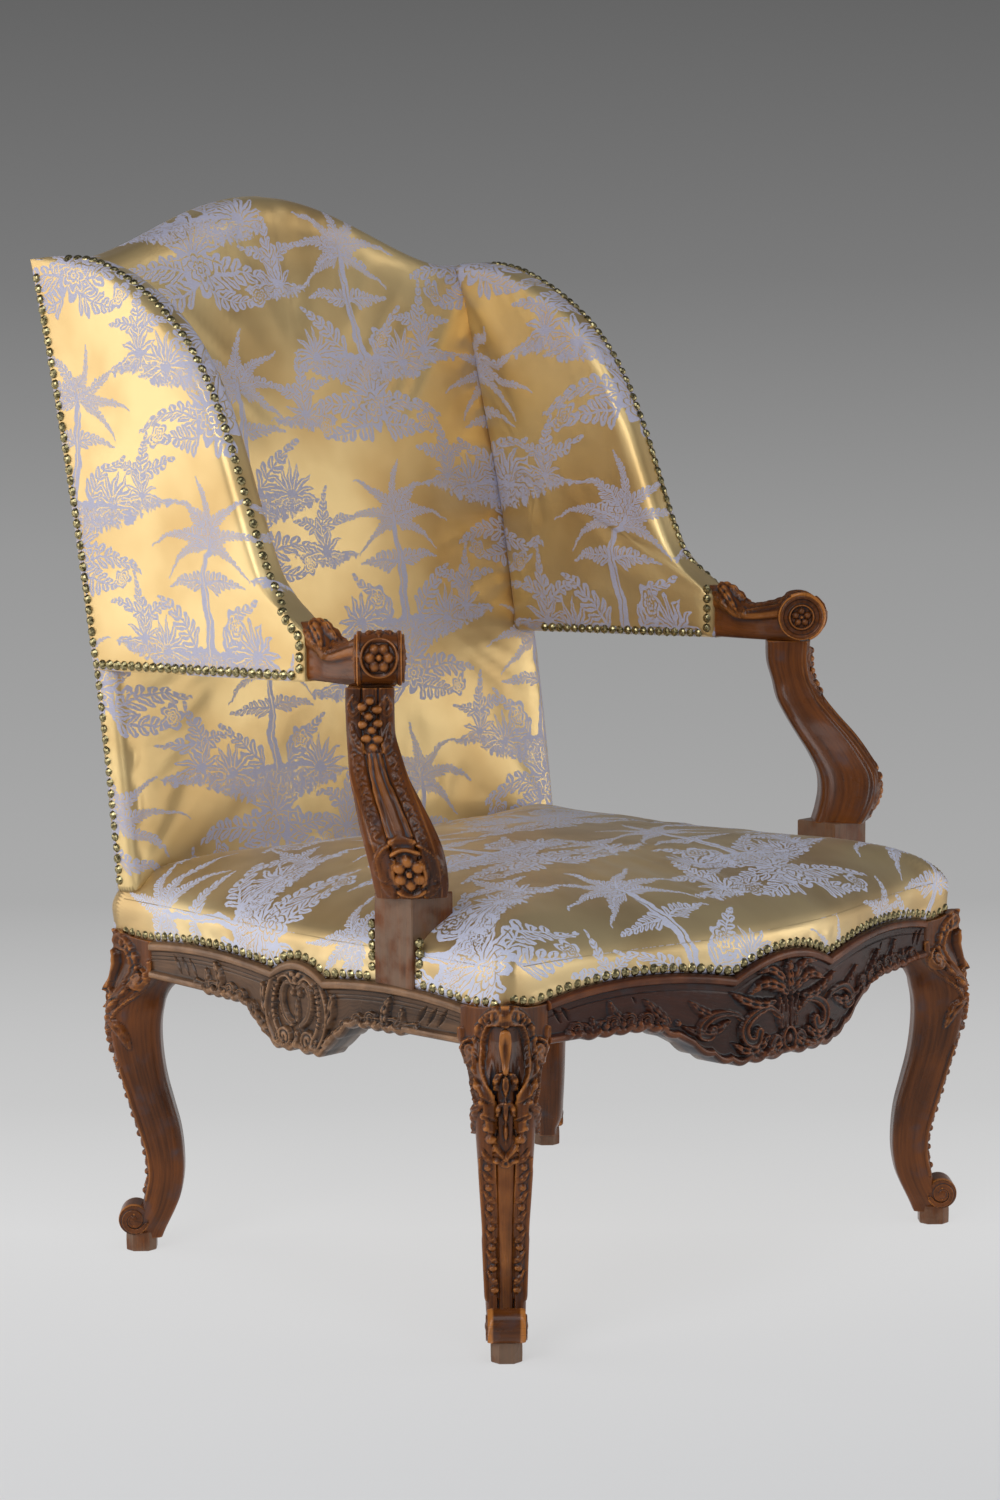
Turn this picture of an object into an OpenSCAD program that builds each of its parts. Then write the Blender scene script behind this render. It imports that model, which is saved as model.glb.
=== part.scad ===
// Carved wing armchair: walnut frame with cabriole legs, padded seat, back and wings.
// Millimetres. +Z up, the sitter faces -Y, left and right are as seen from the front,
// and the origin is on the floor under the middle of the whole chair.

/* [Seat frame] */
// Width over the front corners of the seat rails
seat_w = 730; // [690:5:770]
// Width over the rear corners of the seat rails
seat_w_back = 686; // [682:2:710]
// Depth from the front corners to the rear corners
seat_d = 606; // [570:2:640]
// Height of the plain underside of the rails above the floor
rail_z = 310; // [295:1:325]
// Height of the carved part of the rails at its lowest points
rail_h = 40; // [34:1:46]
// Height of the plain top of the rails above the carved part
core_h = 38; // [34:1:44]
// Thickness of a rail
rail_t = 34; // [31:1:38]
// Depth of the rebate that takes the edge of the cover
rebate = 7; // [5:0.5:8]
// Rise of each scallop along the carved edge
scallop = 14; // [8:1:18]
// Bow of the front rail in plan
bow_front = 55; // [30:1:60]
// Bow of the side rails in plan
bow_side = 12; // [6:1:16]
// Depth of the carved apron below the front rail
apron_front = 50; // [30:1:60]
// Depth of the carved apron below the side rails
apron_side = 38; // [20:1:46]
// Side of the square block at the top of each leg
block = 60; // [56:1:66]
// Thickness of a tenon
tenon_t = 10; // [8:1:12]
// Length of a tenon
tenon_l = 24; // [18:1:26]
// Height of a tenon of the seat rails
tenon_h = 34; // [26:1:38]
// Diameter of the pegs that pin the joints
peg_d = 7; // [5:0.5:8]

/* [Legs] */
// Width of a leg at the knee
knee_w = 66; // [58:1:72]
// Width of a leg at the ankle
ankle_w = 42; // [36:1:48]
// Radius of the scroll on the foot
foot_r = 17; // [14:1:19]
// Width of the block under the scroll
foot_w = 31; // [27:1:36]
// Height of the block under the scroll
foot_h = 22; // [18:1:26]

/* [Back] */
// Height of the shoulders of the back
shoulder_z = 1080; // [1050:5:1110]
// Rise of the crest above the shoulders
crest_h = 76; // [50:1:90]
// Width over the back and the wings
back_w = 678; // [668:2:682]
// How far the shoulders stand behind the rear corners of the seat
rake = 129; // [105:1:150]
// Extra curve of the back, measured half way up
back_curve = 16; // [4:1:22]
// Width of the back posts, seen from the front
stile_w = 34; // [30:1:40]
// Thickness of the back frame
frame_t = 21; // [19:1:24]
// Height of the lower rail of the back
back_rail_h = 44; // [34:1:56]
// Height of the crest rail at the shoulders
crest_rail_h = 70; // [60:1:80]

/* [Wings] */
// Height of the underside of the wings at the front
wing_z = 647; // [636:1:656]
// Slope of the underside of the wings down to the back
wing_drop = 9; // [2:1:12]
// Depth of the wings at the shoulders, from the front edge to the outer face of the back
wing_d = 430; // [400:2:450]
// Thickness of a wing at its front edge
wing_t = 36; // [35:1:40]
// Thickness of a wing where it meets the back
wing_t_back = 48; // [44:1:54]
// Width of the bent post inside the front edge of a wing
wing_post_w = 30; // [22:1:34]
// Padding between that post and the edge of the wing
wing_pad = 4; // [2:1:8]
// Crown of a wing towards the sitter
wing_crown = 5; // [2:1:8]
// Rounding of a wing's front edge towards its outer face
wing_round = 10; // [4:1:12]

/* [Arms] */
// Height of an arm where it leaves the wing
arm_h = 58; // [52:1:62]
// Height of an arm at its waist
arm_waist = 38; // [32:1:42]
// Width of an arm inside the wing
arm_w = 29; // [26:1:30]
// Width of the scroll on the end of an arm
scroll_w = 50; // [44:1:54]
// Radius of the scroll on the end of an arm
scroll_r = 26; // [22:1:27]
// How far the middle of the scroll stands in front of the wing
arm_reach = 105; // [98:1:112]
// How far the arm sweeps away from the sitter on its way to the scroll
arm_sweep = 11; // [6:1:18]
// Turn of the arm's end and its support away from the sitter, in degrees
splay = 45; // [36:1:48]
// Diameter of the dowels of the arms
dowel_d = 14; // [10:1:16]

/* [Arm supports] */
// Depth of the plain post under an arm, front to back
post_d = 54; // [48:1:58]
// Width of the plain post under an arm, side to side
post_w = 58; // [54:1:60]
// Height of the plain post above the carved edge of the rail
post_h = 96; // [90:1:104]
// Distance from the front corner of the seat to the plain post
post_back = 126; // [118:1:132]
// How far the post runs down behind the rail
lap_h = 46; // [38:1:50]
// Width of the carved face of a support at its foot
support_w = 76; // [66:1:80]
// Width of the carved face of a support under the arm
support_top_w = 49; // [44:1:52]
// Diameter of the screws that hold the supports to the rails
screw_d = 5; // [4:0.5:6]
// Length of those screws
screw_l = 48; // [42:1:50]

/* [Upholstery] */
// Thickness of the silk cover
cover_t = 1.5; // [1:0.1:2]
// Height of the edge roll of the seat above the rails
roll_h = 15; // [11:1:22]
// Rise of the seat from the edge roll to its flat
seat_rise = 34; // [24:1:40]
// Crown of the seat in the middle
seat_crown = 17; // [8:1:24]
// Width of the slope along the edge of the seat
seat_slope = 84; // [60:1:100]
// Thickness of the back at its edge
back_t = 30; // [29.4:0.2:34]
// Crown of the back in the middle
back_crown = 17; // [8:1:24]
// Width of a strap of webbing
strap_w = 54; // [45:1:58]
// Thickness of a strap of webbing
strap_t = 1.3; // [1:0.1:1.5]
// Thickness of the hessian
hessian_t = 0.8; // [0.5:0.1:1]
// Straps that run front to back in the seat
straps_long = 5; // [3:1:6]
// Straps that run side to side in the seat, behind the arm posts
straps_cross = 4; // [2:1:4]
// Straps that run up the back
straps_up = 5; // [3:1:6]
// Straps that run across the back
straps_back = 5; // [3:1:5]

/* [Hidden] */

gap = 0.3;            // clearance between pieces that are laid or wrapped over each other
fit = 0.2;            // clearance of tenons, pegs and dowels in their pockets
edge_z = rail_z + rail_h; // carved edge of the rails at its cusps
core_z = edge_z + core_h; // top of the rails
crest_z = shoulder_z + crest_h;
walnut = "#5d3319";
walnut_dark = "#43230f";
silk = "#c9a44c";
linen = "#b59b6a";
horsehair = "#3a2f28";
beech = "#a9804f";
steel = "#8c8a86";

// Curves and surfaces

function lerp(a, b, t) = a + (b - a) * t;
function hump(u) = abs(u) >= 1 ? 0 : pow(cos(90 * u), 2);
function arch(u) = 4 * u * (1 - u);
function ease(t) = let (c = min(1, max(0, t))) c * c * (3 - 2 * c);
function span(a, b, n) = [for (i = [0 : n - 1]) lerp(a, b, i / n)];
function spread(a, b, n) = [for (i = [0 : n - 1]) lerp(a, b, (i + 0.5) / n)];
function last(p) = p[len(p) - 1];
function backwards(p) = [for (i = [len(p) - 1 : -1 : 0]) p[i]];
function mirrored(half) = concat(half, [for (i = [len(half) - 2 : -1 : 1]) [-half[i][0], half[i][1]]]);

// Smooth curve through column k of a table whose first column rises
function stretch(t, p, i = 0) = (i >= len(p) - 2 || t < p[i + 1][0]) ? i : stretch(t, p, i + 1);
function slope(p, i, k) =
    let (a = max(0, i - 1), b = min(len(p) - 1, i + 1)) (p[b][k] - p[a][k]) / (p[b][0] - p[a][0]);
function through(t, p, k = 1) =
    let (i = stretch(t, p), h = p[i + 1][0] - p[i][0], u = min(1, max(0, (t - p[i][0]) / h)),
        rise = u * u * (3 - 2 * u))
    lerp(p[i][k], p[i + 1][k], rise)
    + h * u * (1 - u) * (slope(p, i, k) * (1 - u) - slope(p, i + 1, k) * u);

// Closed solid over a stack of rings that all have the same number of points.
// Flat end rings are closed by one face each, domed ones by a fan about their middle.
function total(v) = [for (p = v) 1] * v;
function middle(ring) = total(ring) / len(ring);
function facing(ring) = total([for (j = [0 : len(ring) - 1]) cross(ring[j], ring[(j + 1) % len(ring)])]);
module skin(rings, domed = false) {
    n = len(rings[0]);
    m = len(rings);
    forward = facing(last(rings)) * (middle(last(rings)) - middle(rings[0])) > 0;
    rows = forward ? rings : [for (ring = rings) backwards(ring)];
    around = [for (j = [0 : n - 1]) j];
    sides = [for (i = [0 : m - 2], j = around) each
        let (a = i * n + j, b = i * n + (j + 1) % n) [[a, a + n, b + n], [a, b + n, b]]];
    start = domed ? [for (j = around) [m * n, j, (j + 1) % n]] : [around];
    end = domed ? [for (j = around) [m * n + 1, (m - 1) * n + (j + 1) % n, (m - 1) * n + j]]
        : [[for (j = backwards(around)) (m - 1) * n + j]];
    polyhedron(concat([for (row = rows) each row], [middle(rows[0]), middle(last(rows))]),
        concat(sides, start, end));
}
module both_sides() {
    children();
    mirror([1, 0, 0]) children();
}

// Plan of the seat. The chair reaches from the bow of the front rail to the crest.

top_lean = 4;         // how far the crest stands behind the line of the shoulders
depth_all = bow_front + seat_d + rake * (1 + crest_h / shoulder_z) + top_lean;
front_c = bow_front - depth_all / 2; // front corners
rear_c = front_c + seat_d;           // rear corners
seat_mid = (front_c + rear_c) / 2;
function along(y) = (y - front_c) / seat_d;
function side_x(y) = lerp(seat_w, seat_w_back, along(y)) / 2 + bow_side * hump(2 * along(y) - 1);
function front_y(x) = front_c - bow_front * hump(2 * x / seat_w);

cusp_front = 78;      // half width of the middle scallop of the front rail
cusp_corner = seat_w / 2 - 43; // where the outer scallops of the front rail end
side_mid = seat_mid - 10; // middle of the carved shell on a side rail
cusp_side = 40;       // half width of the middle scallop of a side rail
function front_edge(x) =
    let (a = abs(x))
    a < cusp_front ? edge_z + 4 / 3 * scallop * arch((x + cusp_front) / (2 * cusp_front))
    : a < cusp_corner ? edge_z + scallop * arch((a - cusp_front) / (cusp_corner - cusp_front))
    : edge_z + scallop / 2 * ease((a - cusp_corner) / (seat_w / 2 - cusp_corner));
function side_edge(y) =
    let (a = abs(y - side_mid), far = seat_d / 2 - block - (y > side_mid ? side_mid - seat_mid : seat_mid - side_mid))
    a < cusp_side ? edge_z + scallop * arch((a + cusp_side) / (2 * cusp_side))
    : a < far ? edge_z + scallop / 2 * arch((a - cusp_side) / (far - cusp_side))
    : edge_z;
apron_half = 66;      // half width of the deepest part of the front apron
apron_fall = 130;     // width of its slope
shell_half = 30;      // half width of the shell on a side rail
shell_fall = 60;      // width of its slope
function front_bottom(x) = rail_z - apron_front * (1 - ease((abs(x) - apron_half) / apron_fall));
function side_bottom(y) = rail_z - apron_side * (1 - ease((abs(y - side_mid) - shell_half) / shell_fall));

// Places children at a corner of the seat, with that corner at the origin and the seat towards +X +Y
module at_corner(side, rear) {
    translate([side * (rear ? seat_w_back : seat_w) / 2, rear ? rear_c : front_c, 0])
        mirror([side > 0 ? 1 : 0, 0, 0]) mirror([0, rear ? 1 : 0, 0]) children();
}

// Legs

corner = 1 / sqrt(2); // share of a diagonal length that runs along one side
reach = block * sqrt(2); // diagonal of the block
// Share of the rail's height, outer line, inner line and half width, measured out from the corner
leg_line = [
    [0.030, -7, -43, foot_w / 2 - 2],
    [0.070, -9, -48, foot_w / 2 - 2],
    [0.110, -16, -54, ankle_w / 2 - 3],
    [0.150, -22, -60, ankle_w / 2 - 1.5],
    [0.200, -26, -66, ankle_w / 2 - 1],
    [0.275, -30, -70, ankle_w / 2],
    [0.355, -28, -70, ankle_w / 2 + 1],
    [0.440, -21, -67, ankle_w / 2 + 2],
    [0.530, -13, -60, lerp(ankle_w, knee_w, 0.32) / 2],
    [0.620, -5, -53, lerp(ankle_w, knee_w, 0.46) / 2],
    [0.710, 3, -49, lerp(ankle_w, knee_w, 0.60) / 2],
    [0.800, 8, -48, lerp(ankle_w, knee_w, 0.76) / 2],
    [0.870, 9, -51, lerp(ankle_w, knee_w, 0.88) / 2],
    [0.935, 8, -59, knee_w / 2],
    [0.985, 6, -76, lerp(knee_w, reach, 0.6) / 2],
    [1.030, 2, -reach, reach / 2]];
leg_rings = 25;
// Half of the section, as shares of the half width and the half depth: a reed between two grooves,
// which turns into the square block above the knee
fluted = [[0, 1], [0.17, 0.96], [0.26, 0.82], [0.36, 0.95], [0.64, 0.94], [0.88, 0.82], [1, 0.5],
    [0.96, -0.3], [0.66, -0.94], [0, -1]];
squared = [[0, 0.97], [0.08, 0.92], [0.17, 0.83], [0.3, 0.7], [0.48, 0.52], [0.74, 0.26], [1, 0],
    [0.7, -0.3], [0.35, -0.65], [0, -1]];
function leg_ring(z) =
    let (f = z / rail_z, outer = through(f, leg_line, 1), inner = through(f, leg_line, 2),
        half = through(f, leg_line, 3), mix = ease((f - 0.86) / 0.16))
    [for (p = mirrored(lerp(fluted, squared, mix)))
        let (across = p[0] * half, out = lerp(inner, outer, (p[1] + 1) / 2))
        [(-across - out) * corner, (across - out) * corner, z]];

module cabriole() {
    skin([for (i = [0 : leg_rings]) leg_ring(lerp(foot_h * 0.6, rail_z * 1.03, i / leg_rings))]);
    foot();
    translate([0, 0, rail_z]) cube([block, block, rail_h]);
    translate([rebate, rebate, rail_z]) cube([block - rebate, block - rebate, core_z - rail_z]);
}
scroll_in = 15;       // middle of the foot's scroll, measured in from the corner
toe_in = 5.5;         // front of the foot's block, measured in from the corner
// Bevelled block on the floor and the scroll above it
module foot() {
    bevel = foot_w / 4;
    across = foot_w / 2;
    heel = toe_in + foot_w + 2;
    rotate([0, 0, 45]) {
        linear_extrude(foot_h)
            polygon([[toe_in, -across + bevel], [toe_in + bevel, -across], [heel - bevel, -across],
                [heel, -across + bevel], [heel, across - bevel], [heel - bevel, across],
                [toe_in + bevel, across], [toe_in, across - bevel]]);
        translate([scroll_in, 0, foot_h + foot_r - 3]) rotate([90, 0, 0]) volute(foot_r, ankle_w - 3, 160);
    }
}
// Spiral band of one and a half turns that stands proud of a disc, with a round eye
module volute(r, w, start) {
    turns = 1.5;
    angles = [for (a = [0 : 15 : turns * 360]) a];
    outer = [for (a = angles) r * (1 - 0.62 * a / last(angles)) * [cos(a), sin(a)]];
    inner = [for (a = angles) r * (0.72 - 0.52 * a / last(angles)) * [cos(a), sin(a)]];
    linear_extrude(w * 0.84, center = true) circle(r * 0.86, $fn = 48);
    linear_extrude(w, center = true) rotate(start) polygon(concat(outer, backwards(inner)));
    cylinder(h = w + 2, r = r * 0.22, center = true, $fn = 32);
}

// Mortises, tenons and pegs at the corners of the seat

tenon_back = rebate + 6; // how far a tenon lies behind the face of its rail
tenon_z = core_z - tenon_h - 12;
peg_in = 12;          // distance from a joint's shoulder to its peg
peg_tip = rebate + 3; // solid wood left in front of a peg
// Tenon of the rail along X, in the frame of at_corner
module tenon_x(slack = 0) {
    translate([block - tenon_l - slack, tenon_back - slack, tenon_z - slack])
        cube([tenon_l + slack + 1, tenon_t + 2 * slack, tenon_h + 2 * slack]);
}
module swapped() {
    mirror([1, -1, 0]) children();
}
module tenon_y(slack = 0) {
    swapped() tenon_x(slack);
}
// Peg through tenon_x from the inside of the block, at a share of the tenon's height
module peg_x(share, slack = 0) {
    translate([block - peg_in, peg_tip - slack, tenon_z + tenon_h * share]) rotate([-90, 0, 0])
        cylinder(h = block - peg_tip + 2 * slack, r = peg_d / 2 + slack / 2, $fn = 24);
}
module corner_pegs(slack = 0) {
    peg_x(0.28, slack);
    swapped() peg_x(0.72, slack);
}
module corner_pockets() {
    tenon_x(fit);
    tenon_y(fit);
    corner_pegs(fit);
}

// Shape of the back: a curved slab that leans, measured forward from its outer face

function back_y(z) =
    let (u = (z - edge_z) / (shoulder_z - edge_z))
    rear_c + rake * u - back_curve * arch(min(1, u)) + max(0, u - 1) * top_lean;
function back_lean(z) = atan(back_y(z + 0.5) - back_y(z - 0.5));
function back_edge(depth, z0, z1, n = 16) =
    [for (i = [0 : n]) let (z = lerp(z0, z1, i / n)) [back_y(z) - depth, z]];
// Part of the slab between two depths and two heights, cut to an outline that is drawn in X and Z
module back_piece(near, far, z0, z1) {
    intersection() {
        rotate([90, 0, 90]) linear_extrude(back_w + 100, center = true)
            polygon(concat(back_edge(near, z0, z1), backwards(back_edge(far, z0, z1))));
        translate([0, rear_c + 2 * rake, 0]) rotate([90, 0, 0]) linear_extrude(3 * rake) children();
    }
}
half_wings = back_w / 2;
half_back = half_wings - cover_t - gap; // the outer covers of the wings lap over the sides of the back
stile_out = half_back - cover_t - gap;
stile_in = stile_out - stile_w;
frame_near = cover_t + gap;
frame_far = frame_near + frame_t;
// Top line of the back: level shoulders and a raised middle
function crest_line(x) = shoulder_z + crest_h * pow(hump(x / (half_back * 0.84)), 0.8);
function crest_curve(half, drop, n = 22) =
    [for (i = [0 : n]) let (x = lerp(half, -half, i / n)) [x, crest_line(x) - drop]];

// Back frame

back_rail_z = core_z + 14;
back_tenon = 9;       // how far the tenons of the back frame lie inside its outer face
module back_mortise(z, h, slack) {
    back_piece(frame_near + back_tenon - slack - tenon_t / 4, frame_near + back_tenon + slack + tenon_t * 3 / 4,
        z - slack, z + h + slack)
        translate([-stile_in - tenon_l - slack, 0]) square([tenon_l + slack + 1, crest_z]);
}
module crest_tenon(slack = 0) {
    back_mortise(shoulder_z - crest_rail_h + 10, crest_rail_h - 30, slack);
}
module lower_rail_tenon(slack = 0) {
    back_mortise(back_rail_z + 8, back_rail_h - 16, slack);
}
// Pegs from the outer face of the back through its tenons
module back_pegs(slack = 0) {
    for (z = [shoulder_z - crest_rail_h / 2 - 5, back_rail_z + back_rail_h / 2])
        translate([-stile_in - peg_in, back_y(z) - frame_near - 1 + slack, z]) rotate([90, 0, 0])
            cylinder(h = frame_t - 4 + 2 * slack, r = peg_d / 2 + slack / 2, $fn = 24);
}
module rear_left_post() {
    color(walnut) difference() {
        union() {
            at_corner(-1, true) cabriole();
            back_piece(frame_near, frame_far, core_z - rail_t, shoulder_z - cover_t - gap)
                translate([-stile_out, 0]) square([stile_w, crest_z]);
        }
        at_corner(-1, true) corner_pockets();
        crest_tenon(fit);
        lower_rail_tenon(fit);
        arm_tenon(fit);
        wing_post_dowels(fit);
        back_pegs(fit);
    }
}
module rear_right_post() {
    mirror([1, 0, 0]) rear_left_post();
}
module front_left_leg() {
    color(walnut) difference() {
        at_corner(-1, false) cabriole();
        at_corner(-1, false) corner_pockets();
    }
}
module front_right_leg() {
    mirror([1, 0, 0]) front_left_leg();
}
rail_half = stile_in - gap;
module crest_rail() {
    color(beech) difference() {
        union() {
            back_piece(frame_near, frame_far, shoulder_z - crest_rail_h, crest_z)
                polygon(concat(crest_curve(rail_half, cover_t + gap), [[-rail_half, 0], [rail_half, 0]]));
            both_sides() crest_tenon();
        }
        both_sides() back_pegs(fit);
    }
}
module back_lower_rail() {
    color(beech) difference() {
        union() {
            back_piece(frame_near, frame_far, back_rail_z, back_rail_z + back_rail_h)
                translate([-rail_half, 0]) square([2 * rail_half, crest_z]);
            both_sides() lower_rail_tenon();
        }
        both_sides() back_pegs(fit);
    }
}

// Seat rails

// Section of a carved rail, as depth behind its face and height: rebate, bead, sunk field and lower bead
bead = 2;             // how far the beads stand proud
sink = 3;             // depth of the field between them
function rail_section(edge, bottom) =
    [[rail_t, core_z], [rebate, core_z], [rebate, edge], [1, edge], [-bead, edge - 4], [-bead, edge - 8],
        [sink, edge - 11], [sink, lerp(edge, bottom, 0.5)], [sink, bottom + 10],
        [-bead, bottom + 7], [-bead, bottom + 3], [2, bottom], [rail_t, bottom]];

front_half = seat_w / 2 - block;
front_stations = concat(span(-front_half, -cusp_front, 8), span(-cusp_front, cusp_front, 6),
    span(cusp_front, front_half, 8), [front_half]);
module front_rail() {
    color(walnut_dark) difference() {
        union() {
            skin([for (x = front_stations) [for (p = rail_section(front_edge(x), front_bottom(x)))
                [x, front_y(x) + p[0], p[1]]]], domed = true);
            both_sides() at_corner(-1, false) tenon_x();
        }
        both_sides() at_corner(-1, false) corner_pegs(fit);
    }
}
side_front = front_c + block;
side_back = rear_c - block;
side_stations = concat(span(side_front, side_mid - cusp_side, 6), span(side_mid - cusp_side, side_mid + cusp_side, 4),
    span(side_mid + cusp_side, side_back, 6), [side_back]);
module left_rail() {
    color(walnut_dark) difference() {
        union() {
            skin([for (y = side_stations) [for (p = rail_section(side_edge(y), side_bottom(y)))
                [-side_x(y) + p[0], y, p[1]]]], domed = true);
            at_corner(-1, false) tenon_y();
            at_corner(-1, true) tenon_y();
        }
        at_corner(-1, false) corner_pegs(fit);
        at_corner(-1, true) corner_pegs(fit);
        post_notch(gap);
        support_screws(fit);
    }
}
module right_rail() {
    mirror([1, 0, 0]) left_rail();
}
module rear_rail() {
    half = seat_w_back / 2 - block;
    color(beech) difference() {
        union() {
            translate([-half, rear_c - rail_t, rail_z]) cube([2 * half, rail_t - rebate, core_z - rail_z]);
            both_sides() at_corner(-1, true) tenon_x();
        }
        both_sides() at_corner(-1, true) corner_pegs(fit);
    }
}
module joint_pegs() {
    color(beech) both_sides() {
        at_corner(-1, false) corner_pegs();
        at_corner(-1, true) corner_pegs();
        back_pegs();
    }
}

// Arms

wing_front = back_y(shoulder_z) - wing_d;
arm_mid = half_wings - cover_t - gap - arm_w / 2; // centre line of an arm inside the wing
arm_under = wing_z + gap + cover_t;
arm_root = 6;         // how far the moulded part of an arm runs into the wing
scroll_x = arm_mid + arm_sweep;
scroll_y = wing_front - arm_reach;
scroll_z = arm_under + scroll_r + 2;
// Share of the reach, share of the sweep, height and half width
arm_line = [
    [-arm_root / arm_reach, 0, arm_h, arm_w / 2],
    [0.05, 0, arm_h - 1, arm_w / 2],
    [0.16, 0.02, lerp(arm_waist, arm_h, 0.7), arm_w / 2 + 2],
    [0.30, 0.10, lerp(arm_waist, arm_h, 0.1), arm_w / 2 + 5],
    [0.46, 0.24, arm_waist, scroll_w / 2 - 4],
    [0.66, 0.46, arm_waist + 4, scroll_w / 2 - 2],
    [0.84, 0.72, arm_waist + 10, scroll_w / 2 - 2],
    [1.00, 1.00, arm_waist + 14, scroll_w / 2 - 3]];
arm_stations = [-arm_root / arm_reach, 0.04, 0.1, 0.17, 0.24, 0.32, 0.42, 0.53, 0.65, 0.77, 0.88, 0.98];
// Half of the section, as shares of the half width and the height, with a bead along the upper edge
arm_shape = [[0, 1], [0.42, 0.99], [0.68, 0.9], [0.84, 0.84], [1, 0.74], [0.98, 0.62], [0.86, 0.55],
    [0.84, 0.12], [0.72, 0], [0, 0]];
function arm_ring(f) =
    let (turn = splay * ease((f - 0.1) / 0.9), h = through(f, arm_line, 2), half = through(f, arm_line, 3),
        x = -arm_mid - arm_sweep * through(f, arm_line, 1), y = wing_front - f * arm_reach)
    [for (p = mirrored(arm_shape)) [x + p[0] * half * cos(turn), y - p[0] * half * sin(turn), arm_under + p[1] * h]];
stile_face = back_y(arm_under) - frame_far - gap;
module arm_bar(slack = 0) {
    translate([-arm_mid - arm_w / 2 - slack, wing_front + arm_root - 1, arm_under - slack])
        cube([arm_w + 2 * slack, stile_face - wing_front - arm_root + 1 + slack, arm_waist + 2 * slack]);
}
module arm_tenon(slack = 0) {
    translate([-arm_mid - tenon_t / 2 - slack, stile_face - 1, arm_under + 8 - slack])
        cube([tenon_t + 2 * slack, frame_t * 0.7 + slack, arm_waist - 16 + 2 * slack]);
}
module left_arm() {
    color(walnut) difference() {
        union() {
            skin([for (f = arm_stations) arm_ring(f)]);
            arm_bar();
            arm_tenon();
            translate([-scroll_x, scroll_y, scroll_z]) rotate([0, 0, -splay]) rotate([0, 90, 0])
                volute(scroll_r, scroll_w, 200);
        }
        support_dowel(fit);
        wing_post_dowels(fit);
    }
}
module right_arm() {
    mirror([1, 0, 0]) left_arm();
}

// Arm supports

post_y = front_c + post_back; // front of the plain post
post_x = side_x(post_y + post_d / 2) - 1; // its outer face
post_z = edge_z + post_h; // its top
post_mid_x = post_x - post_w / 2;
post_mid_y = post_y + post_d / 2;
support_top = arm_under - gap;
top_in = 3;           // how far the top of a support stands inside the middle of the post
top_back = scroll_y + 15 - post_mid_y; // how far it stands behind the middle of the post
// Share of the height, place outward and backward from the post, half width and half depth
support_line = [
    [0.00, 6, -4, support_w / 2 - 3, 29],
    [0.07, 11, -8, support_w / 2 - 1, 31],
    [0.17, 17, -10, support_w / 2, 33],
    [0.27, 20, -6, support_w / 2, 34],
    [0.37, 18, lerp(0, top_back, 0.10), support_w / 2 - 2, 33],
    [0.47, 14, lerp(0, top_back, 0.34), lerp(support_w, support_top_w, 0.4) / 2, 32],
    [0.57, 9, lerp(0, top_back, 0.60), lerp(support_w, support_top_w, 0.64) / 2, 29],
    [0.67, 3, lerp(0, top_back, 0.80), lerp(support_w, support_top_w, 0.84) / 2, 26],
    [0.77, 0, lerp(0, top_back, 0.93), support_top_w / 2, 23],
    [0.88, -top_in, top_back, support_top_w / 2, 24],
    [1.00, -top_in, top_back, support_top_w / 2, 25]];
// Half of the section: a raised panel between two grooves, and sides that draw in to the back
support_shape = [[0, 1], [0.26, 0.98], [0.33, 0.86], [0.42, 0.95], [0.78, 0.9], [1, 0.74], [0.92, 0.56],
    [0.82, -0.6], [0.6, -0.96], [0, -1]];
support_rings = 20;
function support_ring(u) =
    let (x = -post_mid_x - through(u, support_line, 1), y = post_mid_y + through(u, support_line, 2))
    [for (p = mirrored(support_shape))
        let (a = p[0] * through(u, support_line, 3), b = p[1] * through(u, support_line, 4))
        [x + a * cos(splay) - b * sin(splay), y - a * sin(splay) - b * cos(splay),
            lerp(post_z, support_top, u)]];
// The outer part of the plain post stands on the rail and its inner part laps behind the rail
post_foot = edge_z - 2;
module post_body() {
    behind = side_x(post_mid_y + post_d / 2) - rail_t - gap;
    translate([-post_x, post_y, post_foot]) cube([post_w, post_d, post_z - post_foot + 1]);
    translate([-behind, post_y, post_foot - lap_h]) cube([behind - post_x + post_w, post_d, lap_h + 1]);
}
// Room for the post in the rail and in the padding of the seat
module post_notch(slack) {
    outside = 30;
    translate([-post_x - outside, post_y - slack, post_foot])
        cube([post_w + outside + slack, post_d + 2 * slack, support_top - post_foot]);
}
module support_dowel(slack = 0) {
    translate([-post_mid_x + top_in, post_mid_y + top_back, support_top - 4])
        cylinder(h = 4 + arm_waist / 2 + slack, r = dowel_d / 2 + slack / 2, $fn = 32);
}
// Two screws, driven from behind through the lap into the rail
module support_screws(slack = 0) {
    head = screw_d;
    for (share = [0.28, 0.72])
        translate([-post_x + post_w + (slack > 0 ? 1 : 0), post_y + share * post_d, post_foot - lap_h / 2])
            rotate([0, -90, 0]) {
                cylinder(h = screw_l + (slack > 0 ? 2 : 0), r = screw_d / 2 + slack / 2, $fn = 24);
                cylinder(h = screw_d * 0.6 + (slack > 0 ? 1 : 0), r = head + slack / 2, $fn = 24);
            }
}
module left_arm_support() {
    color(walnut) difference() {
        union() {
            skin([for (i = [0 : support_rings]) support_ring(i / support_rings)], domed = true);
            post_body();
            support_dowel();
        }
        support_screws(fit);
    }
}
module right_arm_support() {
    mirror([1, 0, 0]) left_arm_support();
}
module arm_support_screws() {
    color(steel) both_sides() support_screws();
}

// Wings. Their outline is drawn in Y and Z, and depth is measured inward from the outer face.

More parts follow.
